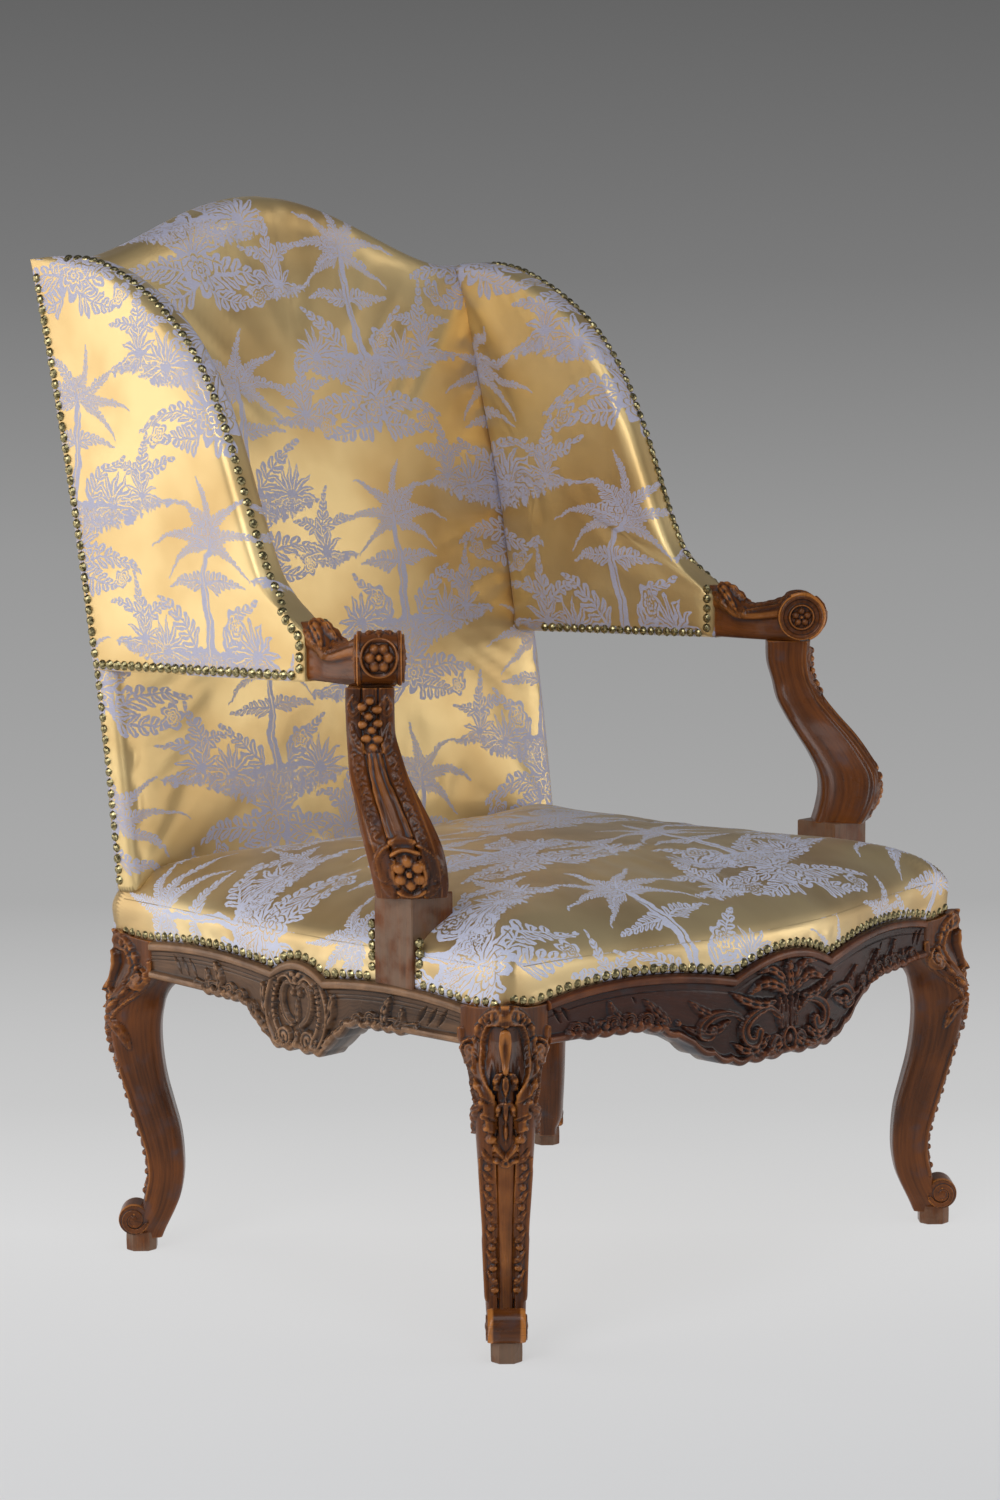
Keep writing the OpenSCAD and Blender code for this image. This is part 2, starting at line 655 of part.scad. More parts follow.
// Share of the depth at the shoulders and share of the rise above the underside
wing_line = [[0, 0.112], [0.04, 0.142], [0.09, 0.178], [0.139, 0.228], [0.177, 0.3], [0.234, 0.436], [0.287, 0.562],
    [0.353, 0.688], [0.443, 0.804], [0.564, 0.9], [0.727, 0.98], [0.87, 1.006], [1, 1]];
wing_stations = [0, 0.04, 0.09, 0.115, 0.139, 0.158, 0.177, 0.205, 0.234, 0.26, 0.287, 0.318, 0.353, 0.395, 0.443,
    0.5, 0.564, 0.64, 0.727, 0.8, 0.87];
wing_mid = [wing_front + 0.55 * wing_d, lerp(wing_z, shoulder_z, 0.38)];
function wing_rear(z, depth) = back_y(z) - depth;
// Point of the upper edge, and its share of the rounding towards the outer face
function wing_top(s) = [wing_front + s * wing_d, lerp(wing_z, shoulder_z, through(s, wing_line)),
    ease((s - 0.02) / 0.1) * (1 - ease((s - 0.7) / 0.3))];
// Closed outline with its rear edge at a depth in front of the outer face of the back
function wing_outline(depth) =
    let (end = 1 - depth / wing_d, low = wing_z - wing_drop, edge = wing_rear(low, depth))
    concat([[wing_front, wing_z, 0]],
        [for (s = wing_stations) if (s < end - 0.01) wing_top(s)], [wing_top(end)],
        [for (t = [0.75, 0.5, 0.25]) let (z = lerp(low, shoulder_z, t)) [wing_rear(z, depth), z, 0]],
        [[edge, low, 0]],
        [for (t = [0.75, 0.5, 0.25]) [lerp(wing_front, edge, t), lerp(wing_z, low, t), 0]]);
// Point of the outline drawn in towards the middle of the wing
function drawn_in(p, inset) =
    let (q = [p[0], p[1]], v = wing_mid - q) q + v * min(0.94, inset / norm(v));
function wing_thick(y) = lerp(wing_t, wing_t_back, max(0, (y - wing_front) / wing_d));
wing_seat = back_t + gap; // depth at which the wings meet the front of the back
// Ring of the wing, drawn in by an inset and standing at a depth that may follow the thickness
function wing_ring(inset, depth, share = 0, round = 0) =
    [for (p = wing_outline(wing_seat))
        let (q = drawn_in(p, inset + round * p[2]))
        [-half_wings + depth + share * wing_thick(p[0]), q[0], q[1]]];
wing_swell = 80;      // distance from the edge over which a wing swells
function wing_profile(t) = [
    wing_ring(t, cover_t + gap, 0, wing_round), wing_ring(t, wing_round, 0, wing_round * 0.3),
    wing_ring(t, wing_round * 1.8), wing_ring(t, -10, 1), wing_ring(t + 3, -3 - t, 1), wing_ring(t + 11, -t, 1),
    wing_ring(wing_swell, wing_crown * 0.7 - t, 1), wing_ring(wing_d, wing_crown - t, 1)];
wing_layer = cover_t + gap + arm_w + gap; // depth of the hessian's outer face
module left_wing_inside_cover() {
    color(silk) difference() {
        skin(concat(backwards(wing_profile(cover_t)), wing_profile(0)), domed = true);
        arm_root_notch();
    }
}
module right_wing_inside_cover() {
    mirror([1, 0, 0]) left_wing_inside_cover();
}
// Room for the moulded root of an arm in the front edge of a wing
module arm_root_notch() {
    translate([-arm_mid - arm_w / 2 - gap, wing_front - 20, arm_under - gap])
        cube([arm_w + 2 * gap, 20 + arm_root + gap, arm_h + 2 * gap]);
}
module left_wing_stuffing() {
    start = wing_layer + hessian_t + gap;
    under = cover_t + gap;
    color(horsehair) skin([wing_ring(under + 4, start), wing_ring(under + 11, -under, 1),
        wing_ring(wing_swell, wing_crown * 0.7 - under, 1), wing_ring(wing_d, wing_crown - under, 1)], domed = true);
}
module right_wing_stuffing() {
    mirror([1, 0, 0]) left_wing_stuffing();
}
// Flat sheet in the plane of a wing, between two depths
module wing_sheet(near, far) {
    translate([-half_wings + near, 0, 0]) rotate([90, 0, 90]) linear_extrude(far - near) children();
}
module wing_shape(inset, depth, round = 0) {
    polygon([for (p = wing_outline(depth)) drawn_in(p, inset + round * p[2])]);
}
module left_wing_hessian() {
    color(linen) wing_sheet(wing_layer, wing_layer + hessian_t) wing_shape(wing_pad + 6, wing_seat);
}
module right_wing_hessian() {
    mirror([1, 0, 0]) left_wing_hessian();
}
module left_wing_outside_cover() {
    color(silk) wing_sheet(0, cover_t) wing_shape(0, gap, wing_round + 1);
}
module right_wing_outside_cover() {
    mirror([1, 0, 0]) left_wing_outside_cover();
}
// Bent post that follows the front edge of the wing from the arm to the back post
module left_wing_post() {
    rise = arm_under + arm_waist;
    skirt = cover_t + gap + wing_pad;
    color(beech) {
        wing_sheet(cover_t + gap, cover_t + gap + arm_w - 3) intersection() {
            difference() {
                wing_shape(skirt, 0, wing_round);
                wing_shape(skirt + wing_post_w, -wing_d / 2, wing_round);
                translate([wing_front, 0]) square([arm_root + gap, arm_under + arm_h + gap]);
            }
            polygon(concat([[-depth_all, rise]], back_edge(frame_far + gap, rise, crest_z), [[-depth_all, crest_z]]));
        }
        wing_post_dowels();
    }
}
module right_wing_post() {
    mirror([1, 0, 0]) left_wing_post();
}
post_dowel = 9;       // diameter of the dowels of the wing posts
// One dowel down into the arm and one back into the back post
module wing_post_dowels(slack = 0) {
    skirt = cover_t + gap + wing_pad;
    x = -half_wings + cover_t + gap + arm_w / 2 - 1.5;
    r = post_dowel / 2 + slack / 2;
    z = shoulder_z - skirt - wing_post_w * 0.6;
    translate([x, wing_front + skirt + wing_post_w * 0.62, arm_under + arm_waist - 20 - slack])
        cylinder(h = 28 + slack, r = r, $fn = 24);
    translate([x, wing_rear(z, frame_far) - 12, z]) rotate([-90, 0, 0])
        cylinder(h = 26 + slack, r = r, $fn = 24);
}

// Webbing: straps that pass over and under each other

strap_low = 0;
strap_high = strap_t + gap;
strap_stack = strap_high + strap_t; // thickness of two crossed straps
// Outline of a strap that starts and ends on the frame and is raised at every other crossing
function strap_path(start, end, crossings, first) =
    let (flat = strap_w / 2 + 3)
    concat([[start, strap_low]],
        [for (i = [0 : len(crossings) - 1]) each
            let (level = (i + first) % 2 == 0 ? strap_low : strap_high)
            [[crossings[i] - flat, level], [crossings[i] + flat, level]]],
        [[end, strap_low]]);
module strap(start, end, crossings, first) {
    path = strap_path(start, end, crossings, first);
    translate([0, 0, -strap_w / 2]) linear_extrude(strap_w)
        polygon(concat(path, [for (p = backwards(path)) p + [0, strap_t]]));
}
strap_in = 4;         // distance from the outer edge of the frame to the end of a strap
long_x = spread(-front_half - 20, front_half + 20, straps_long);
first_cross = front_c + post_back / 2;
cross_y = concat([first_cross], spread(post_y + post_d + 6, rear_c - rail_t - 8, straps_cross));
module seat_webbing_long() {
    color(linen) for (i = [0 : straps_long - 1])
        translate([long_x[i], 0, core_z]) rotate([90, 0, 90])
            strap(front_y(abs(long_x[i]) + strap_w / 2) + rebate + strap_in,
                rear_c - rebate - strap_in, cross_y, i);
}
module seat_webbing_cross() {
    color(linen) for (j = [0 : len(cross_y) - 1])
        translate([0, cross_y[j], core_z]) rotate([90, 0, 0])
            strap(-side_x(cross_y[j] + strap_w / 2) + rebate + strap_in,
                side_x(cross_y[j] + strap_w / 2) - rebate - strap_in, long_x, j + 1);
}
up_x = spread(-stile_in + 10, stile_in - 10, straps_up);
back_z = [for (i = [0 : straps_back - 1])
    lerp(core_z + 82, shoulder_z - 80, i / (straps_back - 1))];
module back_webbing_cross() {
    color(linen) for (j = [0 : straps_back - 1])
        translate([0, back_y(back_z[j]) - frame_far, back_z[j]]) rotate([-back_lean(back_z[j]), 0, 0])
            rotate([0, 0, 180]) strap(-stile_out + strap_in, stile_out - strap_in, up_x, j + straps_up);
}
// How far upright strap i stands off the frame at a height
function lifted(z, i) =
    let (j = [for (k = [0 : straps_back - 1]) if (abs(z - back_z[k]) < strap_w / 2 + 5) k])
    len(j) > 0 && (i + j[0]) % 2 == 1 ? strap_high : strap_low;
up_z = concat([back_rail_z + strap_in],
    [for (z = back_z) each [z - strap_w / 2 - 8, z - strap_w / 2 - 4, z, z + strap_w / 2 + 4, z + strap_w / 2 + 8]],
    [shoulder_z - strap_in]);
module back_webbing_upright() {
    color(linen) for (i = [0 : straps_up - 1]) {
        path = [for (z = up_z) [back_y(z) - frame_far - lifted(z, i), z]];
        translate([up_x[i] - strap_w / 2, 0, 0]) rotate([90, 0, 90]) linear_extrude(strap_w)
            polygon(concat(path, [for (p = backwards(path)) p - [strap_t, 0]]));
    }
}

// Seat

roll_out = 3;         // how far the edge roll swells over the cover's lower edge
side_points = concat(backwards(side_stations), [front_c + 24]);
front_points = concat([-seat_w / 2 + 24], front_stations, [seat_w / 2 - 24]);
// Points of the plan, each with its carved edge and the way in from it
seat_plan = concat(
    [[[-seat_w_back / 2, rear_c + 10], [1, -1], edge_z]],
    [for (y = side_points) [[-side_x(y), y], [1, 0], side_edge(y)]],
    [[[-seat_w / 2, front_c], [1, 1], front_edge(seat_w / 2)]],
    [for (x = front_points) [[x, front_y(x)], [0, 1], front_edge(x)]],
    [[[seat_w / 2, front_c], [-1, 1], front_edge(seat_w / 2)]],
    [for (y = backwards(side_points)) [[side_x(y), y], [-1, 0], side_edge(y)]],
    [[[seat_w_back / 2, rear_c + 10], [-1, -1], edge_z]],
    [for (x = [150, 0, -150]) [[x, rear_c + 10], [0, -1], edge_z]]);
function is_corner(p) = p[1][0] != 0 && p[1][1] > 0;
square_in = 12;       // insets up to this one run square to the edge, the rest draws each axis in
// Ring of the seat: inset, shrunk to the middle, at a height above the carved edge or at a set height
function seat_ring(inset, shrink, z, follow = 0, round = 0) =
    [for (p = seat_plan)
        let (near = min(inset, square_in), far = 2 * (inset - near),
            q = p[0] + p[1] * (near + (is_corner(p) ? round : 0)), c = [0, seat_mid], v = (q - c) * (1 - shrink))
        concat(c + [v[0] * (1 - far / seat_w), v[1] * (1 - far / seat_d)], [z + follow * p[2]])];
function seat_profile(t) =
    let (low = rebate - gap - cover_t + t, top = core_z - t)
    [seat_ring(low, 0, gap, 1), seat_ring(low, 0, core_z - 10),
        seat_ring(low - roll_out, 0, top + 2, 0, 4), seat_ring(low - roll_out + 1, 0, top + roll_h - 6, 0, 8),
        seat_ring(low + 6, 0, top + roll_h + 2, 0, 9), seat_ring(low + seat_slope * 0.35, 0, top + roll_h + seat_rise * 0.5),
        seat_ring(low + seat_slope, 0, top + roll_h + seat_rise * 0.95),
        seat_ring(seat_slope, 0.35, top + roll_h + seat_rise + seat_crown * 0.65),
        seat_ring(seat_slope, 0.92, top + roll_h + seat_rise + seat_crown)];
// Everything behind the front of the back, and the rear edge of the seat
module behind_seat(low) {
    back_piece(-60, back_t + gap, low, shoulder_z) translate([-400, 0]) square([800, crest_z]);
}
back_low = core_z + 10; // underside of the padding of the back
module seat_cover() {
    half = seat_w_back / 2 - rebate;
    color(silk) difference() {
        skin(concat(backwards(seat_profile(cover_t)), seat_profile(0)), domed = true);
        behind_seat(back_low - gap);
        translate([-half, rear_c - 2 * back_t, 0]) cube([2 * half, 3 * back_t, back_low]);
        translate([-seat_w, rear_c - rebate, 0]) cube([2 * seat_w, 3 * back_t, back_low]);
        both_sides() post_notch(gap);
    }
}
seat_layer = core_z + strap_stack + gap; // underside of the hessian
module seat_stuffing() {
    t = cover_t + gap;
    low = rebate - gap - cover_t + t;
    color(horsehair) difference() {
        skin(concat([seat_ring(low + 8, 0.5, seat_layer + hessian_t + gap), seat_ring(low + 8, 0, seat_layer + hessian_t + gap)],
            [for (i = [3 : 8]) seat_profile(t)[i]]), domed = true);
        behind_seat(core_z);
        both_sides() post_notch(gap);
    }
}
module seat_hessian() {
    color(linen) difference() {
        translate([0, 0, seat_layer]) linear_extrude(hessian_t)
            polygon([for (p = seat_ring(rebate + strap_in, 0, 0)) [p[0], p[1]]]);
        translate([-seat_w, rear_c - rebate - strap_in, 0]) cube([2 * seat_w, 100, seat_layer * 2]);
        both_sides() post_notch(gap);
    }
}

// Back padding and covers

// Points of the outline in X and Z, from the lower left, up the side, over the crest and down
back_rise = shoulder_z - back_low;
back_outline = concat([for (t = span(0, 1, 6)) [-half_back, back_low + t * back_rise]],
    backwards(crest_curve(half_back, 0, 20)), [for (t = span(0, 1, 6)) [half_back, shoulder_z - (t + 1 / 6) * back_rise]],
    [for (x = [200, 0, -200]) [x, back_low]]);
back_centre = [0, lerp(back_low, shoulder_z, 0.52)];
// Ring of the back: each axis is drawn in by the inset, so that the sides stay parallel
function back_ring(inset, depth, crown = 0) =
    [for (p = back_outline)
        let (q = [p[0] * (1 - inset / half_back),
                lerp(p[1], back_centre[1], min(0.95, 2 * inset / back_rise))])
        [q[0], back_y(q[1]) - depth - crown, q[1]]];
function back_profile(t) = [
    back_ring(t, frame_near), back_ring(t, back_t - 7), back_ring(t + 2.5, back_t - 2 - t), back_ring(t + 9, back_t - t),
    back_ring(58, back_t - t, 1), back_ring(130, back_t - t, back_crown * 0.6), back_ring(230, back_t - t, back_crown * 0.92),
    back_ring(315, back_t - t, back_crown)];
back_layer = frame_far + strap_stack + gap; // depth of the hessian's outer face
module inside_back_cover() {
    color(silk) difference() {
        skin(concat(backwards(back_profile(cover_t)), back_profile(0)), domed = true);
        both_sides() frame_notches();
    }
}
// Room for the arm and the wing post where they reach the back post
module frame_notches() {
    arm_bar(2 * gap);
    skirt = cover_t + gap + wing_pad;
    z = shoulder_z - skirt - wing_post_w - 12;
    translate([-half_wings, wing_rear(z, back_t + 10), z])
        cube([arm_w + 2, 200, wing_post_w + 14]);
}
module back_stuffing() {
    t = cover_t + gap;
    behind = back_layer + hessian_t + 2 * gap;
    color(horsehair) difference() {
        skin(concat([for (inset = [270, 200, 130, 60, t + 6]) back_ring(inset, behind)],
            [for (i = [3 : 7]) back_profile(t)[i]]), domed = true);
        both_sides() frame_notches();
    }
}
module back_hessian() {
    half = stile_out - 2;
    color(linen) difference() {
        back_piece(back_layer, back_layer + hessian_t, back_rail_z + 2, crest_z)
            polygon(concat(crest_curve(half, 10), [[-half, 0], [half, 0]]));
        both_sides() frame_notches();
    }
}
module outside_back_cover() {
    color(silk) back_piece(0, cover_t, edge_z, crest_z)
        polygon(concat(crest_curve(half_back, 0), [[-half_back, 0], [half_back, 0]]));
}

front_left_leg();
front_right_leg();
rear_left_post();
rear_right_post();
front_rail();
left_rail();
right_rail();
rear_rail();
crest_rail();
back_lower_rail();
left_arm();
right_arm();
left_arm_support();
right_arm_support();
left_wing_post();
right_wing_post();
joint_pegs();
arm_support_screws();
seat_webbing_long();
seat_webbing_cross();
seat_hessian();
seat_stuffing();
seat_cover();
back_webbing_upright();
back_webbing_cross();
back_hessian();
back_stuffing();
inside_back_cover();
outside_back_cover();
left_wing_hessian();
right_wing_hessian();
left_wing_stuffing();
right_wing_stuffing();
left_wing_inside_cover();
right_wing_inside_cover();
left_wing_outside_cover();
right_wing_outside_cover();
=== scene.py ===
"""Carved wing armchair in gold and silver-blue silk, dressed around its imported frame.

Objects are in metres. The sizes of the chair's own pieces are written in millimetres.
"""
from math import cos, radians, sin

import bpy
import numpy as np
from mathutils import Matrix, Vector


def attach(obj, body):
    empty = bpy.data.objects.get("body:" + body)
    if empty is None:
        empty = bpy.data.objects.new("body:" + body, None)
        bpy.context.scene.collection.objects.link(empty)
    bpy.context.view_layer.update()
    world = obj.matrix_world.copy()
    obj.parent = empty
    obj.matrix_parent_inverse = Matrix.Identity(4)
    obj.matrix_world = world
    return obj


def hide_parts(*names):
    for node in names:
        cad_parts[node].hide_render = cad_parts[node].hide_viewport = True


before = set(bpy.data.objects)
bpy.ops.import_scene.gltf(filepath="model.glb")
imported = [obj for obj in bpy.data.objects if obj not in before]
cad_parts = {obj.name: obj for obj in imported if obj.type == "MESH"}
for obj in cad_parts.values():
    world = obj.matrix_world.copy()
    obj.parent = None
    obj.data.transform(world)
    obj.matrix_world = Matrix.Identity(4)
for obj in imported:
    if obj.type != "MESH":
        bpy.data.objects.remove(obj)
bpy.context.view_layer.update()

# Camera: stands at the left front of the chair, a metre above the floor, and looks slightly down.
# The place, heading and lens come from a perspective fit of the photograph.
eye = Vector((-2.652, -2.529, 0.997))
heading, downward, tilt = radians(46.28), radians(7.08), radians(-0.34)
look = Vector((sin(heading) * cos(downward), cos(heading) * cos(downward), -sin(downward)))
level = look.cross(Vector((0, 0, 1))).normalized()
upright = level.cross(look)
across = level * cos(tilt) + upright * sin(tilt)
above = upright * cos(tilt) - level * sin(tilt)
camera_data = bpy.data.cameras.new("camera")
camera_data.lens = 80.4
camera_data.sensor_width = 36
camera = bpy.data.objects.new("camera", camera_data)
camera.matrix_world = Matrix.Translation(eye) @ Matrix((across, above, -look)).transposed().to_4x4()
bpy.context.scene.collection.objects.link(camera)
bpy.context.scene.camera = camera
bpy.context.scene.view_settings.view_transform = "Standard"

# Floor: one pale seamless sheet of paper that turns up behind the chair, so no horizon shows.
# It is matt only towards the camera. Round the chair and behind it, it mostly glows with a painted tone
# that darkens up the sweep, a painted fall-off of light, so the chair's shadow on it stays faint.
floor_size, sweep_start, sweep_radius, paper_top = 14.0, 4.0, 2.2, 9.0
floor_mesh = bpy.data.meshes.new("floor")
strip = [(-floor_size, 0.0)]
for turn in np.linspace(0, np.pi / 2, 14):
    strip.append((sweep_start + sweep_radius * sin(turn), sweep_radius * (1 - cos(turn))))
strip.append((sweep_start + sweep_radius, paper_top))
away = Vector((look.x, look.y, 0)).normalized()
sideways = Vector((away.y, -away.x, 0)) * floor_size
floor_points = [tuple(away * d + sideways * side + Vector((0, 0, z))) for d, z in strip for side in (-1, 1)]
floor_mesh.from_pydata(floor_points, [], [(i, i + 1, i + 3, i + 2) for i in range(0, 2 * len(strip) - 2, 2)])
for polygon in floor_mesh.polygons:
    polygon.use_smooth = True
floor = bpy.data.objects.new("floor", floor_mesh)
bpy.context.scene.collection.objects.link(floor)
paper = bpy.data.materials.new("pale paper")
paper.use_nodes = True
tree = paper.node_tree
matt = tree.nodes["Principled BSDF"]
painted_falloff = tree.nodes.new("ShaderNodeValToRGB")
where = tree.nodes.new("ShaderNodeVectorMath")
where.operation = "DOT_PRODUCT"
where.inputs[1].default_value = (away.x * 0.08, away.y * 0.08, 0.25)
tree.links.new(tree.nodes.new("ShaderNodeNewGeometry").outputs["Position"], where.inputs[0])
tree.links.new(where.outputs["Value"], painted_falloff.inputs[0])
painted_falloff.color_ramp.elements[1].color = (0.125, 0.125, 0.125, 1)
# Painted fall-off of light: the glow is palest at the chair and darkens away from it and up the sweep.
for position, grey in ((0.0, 0.76), (0.05, 0.60), (0.176, 0.41), (0.34, 0.37), (0.53, 0.315),
                       (0.765, 0.195)):
    stop = painted_falloff.color_ramp.elements.new(position) if position else painted_falloff.color_ramp.elements[0]
    stop.color = (grey, grey, grey, 1)
glow, both, reach = (tree.nodes.new("ShaderNode" + kind) for kind in ("Emission", "MixShader", "MapRange"))
reach.interpolation_type = "SMOOTHSTEP"
reach.inputs["From Min"].default_value, reach.inputs["From Max"].default_value = -0.26, 0.10
for output, socket in ((where.outputs["Value"], reach.inputs["Value"]),
                       (painted_falloff.outputs["Color"], glow.inputs["Color"]),
                       (reach.outputs["Result"], both.inputs[0]), (glow.outputs[0], both.inputs[2]),
                       (matt.outputs[0], both.inputs[1]),
                       (both.outputs[0], tree.nodes["Material Output"].inputs["Surface"])):
    tree.links.new(output, socket)
matt.inputs["Base Color"].default_value = (0.80, 0.80, 0.805, 1)
matt.inputs["Roughness"].default_value = 0.9
floor_mesh.materials.append(paper)

# Light: soft windows at the left, the left rear and the right front, a cool skylight over the seat, and
# a grey room that darkens upward. The camera sees the room as pale as the floor.
world = bpy.data.worlds.new("grey room")
world.use_nodes = True
tree = world.node_tree
background = tree.nodes["Background"]
sky = tree.nodes.new("ShaderNodeValToRGB")
for stop, colour in zip(sky.color_ramp.elements, ((0.60, 0.60, 0.63, 1), (0.13, 0.14, 0.17, 1))):
    stop.color = colour
upward = tree.nodes.new("ShaderNodeSeparateXYZ")
seen = tree.nodes.new("ShaderNodeMix")
seen.data_type = "RGBA"
seen.inputs[7].default_value = (1.05, 1.05, 1.06, 1)
for output, socket in ((tree.nodes.new("ShaderNodeTexCoord").outputs["Generated"], upward.inputs[0]),
                       (upward.outputs["Z"], sky.inputs[0]), (sky.outputs["Color"], seen.inputs[6]),
                       (tree.nodes.new("ShaderNodeLightPath").outputs["Is Camera Ray"],
                        seen.inputs["Factor"]),
                       (seen.outputs[2], background.inputs["Color"])):
    tree.links.new(output, socket)
background.inputs["Strength"].default_value = 0.55
bpy.context.scene.world = world
# Each window: place, what it points at, size, power in watts and tint.
windows = {
    "left window": ((-3.0, -0.8, 2.2), (0.0, 0.0, 0.7), 1.8, 42, (0.97, 0.98, 1.0)),
    "left rear window": ((-2.6, 2.5, 1.1), (-0.2, 0.1, 0.8), 2.8, 44, (1.0, 0.97, 0.92)),
    "right window": ((3.0, -3.3, 0.7), (0.0, 0.0, 0.5), 3.2, 60, (1.0, 0.97, 0.93)),
    "skylight": ((-0.9, -1.5, 3.3), (0.0, -0.1, 0.4), 1.5, 18, (0.88, 0.94, 1.0))}
for name, (place, aim, size, power, tint) in windows.items():
    lamp = bpy.data.lights.new(name, "AREA")
    lamp.size, lamp.energy, lamp.color = size, power, tint
    holder = bpy.data.objects.new(name, lamp)
    holder.location = place
    holder.rotation_euler = (Vector(aim) - Vector(place)).to_track_quat("-Z", "Y").to_euler()
    bpy.context.scene.collection.objects.link(holder)


# Walnut of the show wood: legs, rails, arms and supports are carved from solid walnut, stained,
# waxed and rubbed. Raised edges are worn to a warm brown. The hollows hold grey dust, and the same dark
# colour is painted beside raised strokes as shade; creases are painted darker still as shade.
def by(operation):
    """A method of a shade for one operation of the math node."""
    return lambda shade, *others: shade.math(operation, *others)


class Shade:
    """A socket of a shader tree that can be added, multiplied and compared like a number."""

    def __init__(self, tree, socket):
        self.tree, self.socket = tree, socket

    def math(self, operation, *others):
        """One operation of the math node on this socket and some others."""
        node = self.tree.nodes.new("ShaderNodeMath")
        node.operation = operation
        for slot, value in zip(node.inputs, (self, *others)):
            join(self.tree, value, slot)
        return Shade(self.tree, node.outputs[0])

    __add__ = __radd__ = by("ADD")
    __sub__ = by("SUBTRACT")
    __mul__ = __rmul__ = by("MULTIPLY")
    __truediv__ = by("DIVIDE")
    __lt__ = by("LESS_THAN")
    __gt__ = by("GREATER_THAN")
    __or__ = by("MAXIMUM")
    __and__ = by("MINIMUM")
    __abs__ = by("ABSOLUTE")

    def __rsub__(self, other):
        return (self * -1) + other

    def ramp(self, start, end):
        """0 below start, 1 above end, a smooth turn between them."""
        node = self.tree.nodes.new("ShaderNodeMapRange")
        node.interpolation_type = "SMOOTHSTEP"
        join(self.tree, self, node.inputs["Value"])
        node.inputs["From Min"].default_value, node.inputs["From Max"].default_value = start, end
        return Shade(self.tree, node.outputs["Result"])


def join(tree, value, slot):
    """A socket fed by a shade, or set to a plain value."""
    if isinstance(value, Shade):
        tree.links.new(value.socket, slot)
    else:
        slot.default_value = value


def texture(tree, kind, vector, output, **values):
    """A texture or helper node at some coordinates, with its settings and socket values by name."""
    node = tree.nodes.new("ShaderNode" + kind)
    for key, value in values.items():
        if hasattr(node, key):
            setattr(node, key, value)
        else:
            join(tree, value, node.inputs[key.replace("_", " ").title()])
    if vector is not None:
        join(tree, vector, node.inputs["Vector"])
    return Shade(tree, node.outputs[output])


def blended(tree, share, first, second):
    """A colour between two others. Each of them is a shade, or its red, green and blue."""
    node = tree.nodes.new("ShaderNodeMix")
    node.data_type = "RGBA"
    join(tree, share, node.inputs["Factor"])
    for colour, slot in ((first, 6), (second, 7)):
        join(tree, colour if isinstance(colour, Shade) else (*colour, 1), node.inputs[slot])
    return Shade(tree, node.outputs[2])


def scaled(tree, vector, factors):
    """Coordinates stretched along each axis."""
    node = tree.nodes.new("ShaderNodeVectorMath")
    node.operation = "MULTIPLY"
    join(tree, vector, node.inputs[0])
    node.inputs[1].default_value = factors
    return Shade(tree, node.outputs[0])


def new_group(name, inputs, outputs):
    """An empty shader group with named sockets, and its input sockets ready for use."""
    group = bpy.data.node_groups.new(name, "ShaderNodeTree")
    for label, kind in inputs.items():
        group.interface.new_socket(label, in_out="INPUT", socket_type="NodeSocket" + kind)
    for label, kind in outputs.items():
        group.interface.new_socket(label, in_out="OUTPUT", socket_type="NodeSocket" + kind)
    entry = group.nodes.new("NodeGroupInput")
    exit_node = group.nodes.new("NodeGroupOutput")
    return group, {label: Shade(group, entry.outputs[label]) for label in inputs}, exit_node.inputs


def placed(tree, group, **values):
    """A group put into a material with its own values. Returns its outputs by name."""
    node = tree.nodes.new("ShaderNodeGroup")
    node.node_tree = group
    for key, value in values.items():
        join(tree, value, node.inputs[key.replace("_", " ")])
    return {output.name: Shade(tree, output) for output in node.outputs}


def bumped(tree, height, distance, strength):
    """A normal that follows a fine height."""
    node = tree.nodes.new("ShaderNodeBump")
    join(tree, height, node.inputs["Height"])
    node.inputs["Distance"].default_value = distance
    node.inputs["Strength"].default_value = strength
    return Shade(tree, node.outputs["Normal"])


def new_material(name):
    """A material with its shader tree and the sockets of its surface."""
    material = bpy.data.materials.new(name)
    material.use_nodes = True
    return material, material.node_tree, material.node_tree.nodes["Principled BSDF"].inputs


wood_grain, given, out = new_group("wood grain", {"Along": "Vector"}, {"Figure": "Float", "Pores": "Float"})
fibres = texture(wood_grain, "TexNoise", scaled(wood_grain, given["Along"], (300, 14, 60)), "Fac", scale=1.0,
                 detail=6.0)
flames = texture(wood_grain, "TexNoise", scaled(wood_grain, given["Along"], (32, 3.5, 20)), "Fac", scale=1.0,
                 detail=3.0, distortion=1.2)
pores = texture(wood_grain, "TexNoise", scaled(wood_grain, given["Along"], (1400, 60, 300)), "Fac",
                scale=1.0, detail=2.0)
join(wood_grain, fibres * 0.45 + flames * 0.55, out["Figure"])
join(wood_grain, pores.ramp(0.60, 0.70), out["Pores"])

# Masks of wear and painted shade: worn edges and high points, dust in hollows with painted shade beside
# strokes, painted shade in creases, and the plain wood.
wear_and_shade_group, given, out = new_group("wear and shade", {"Relief": "Float", "Place": "Vector"},
                                  {"Worn": "Float", "Dust and shade": "Float", "Crease shade": "Float", "Plain": "Float"})
uneven = texture(wear_and_shade_group, "TexNoise", given["Place"], "Fac", scale=38.0, detail=4.0)
pointed = texture(wear_and_shade_group, "NewGeometry", None, "Pointiness")
not_plain = given["Relief"].ramp(-2.5, -1.5)
edges = (pointed + (uneven - 0.5) * 0.045).ramp(0.52, 0.60)
high = (given["Relief"] + (uneven - 0.5) * 1.1).ramp(1.0, 2.2)
join(wear_and_shade_group, ((edges * 0.9) | (high * 0.8)) * not_plain, out["Worn"])
low = (0.5 - pointed + (uneven - 0.5) * 0.03).ramp(0.0, 0.05)
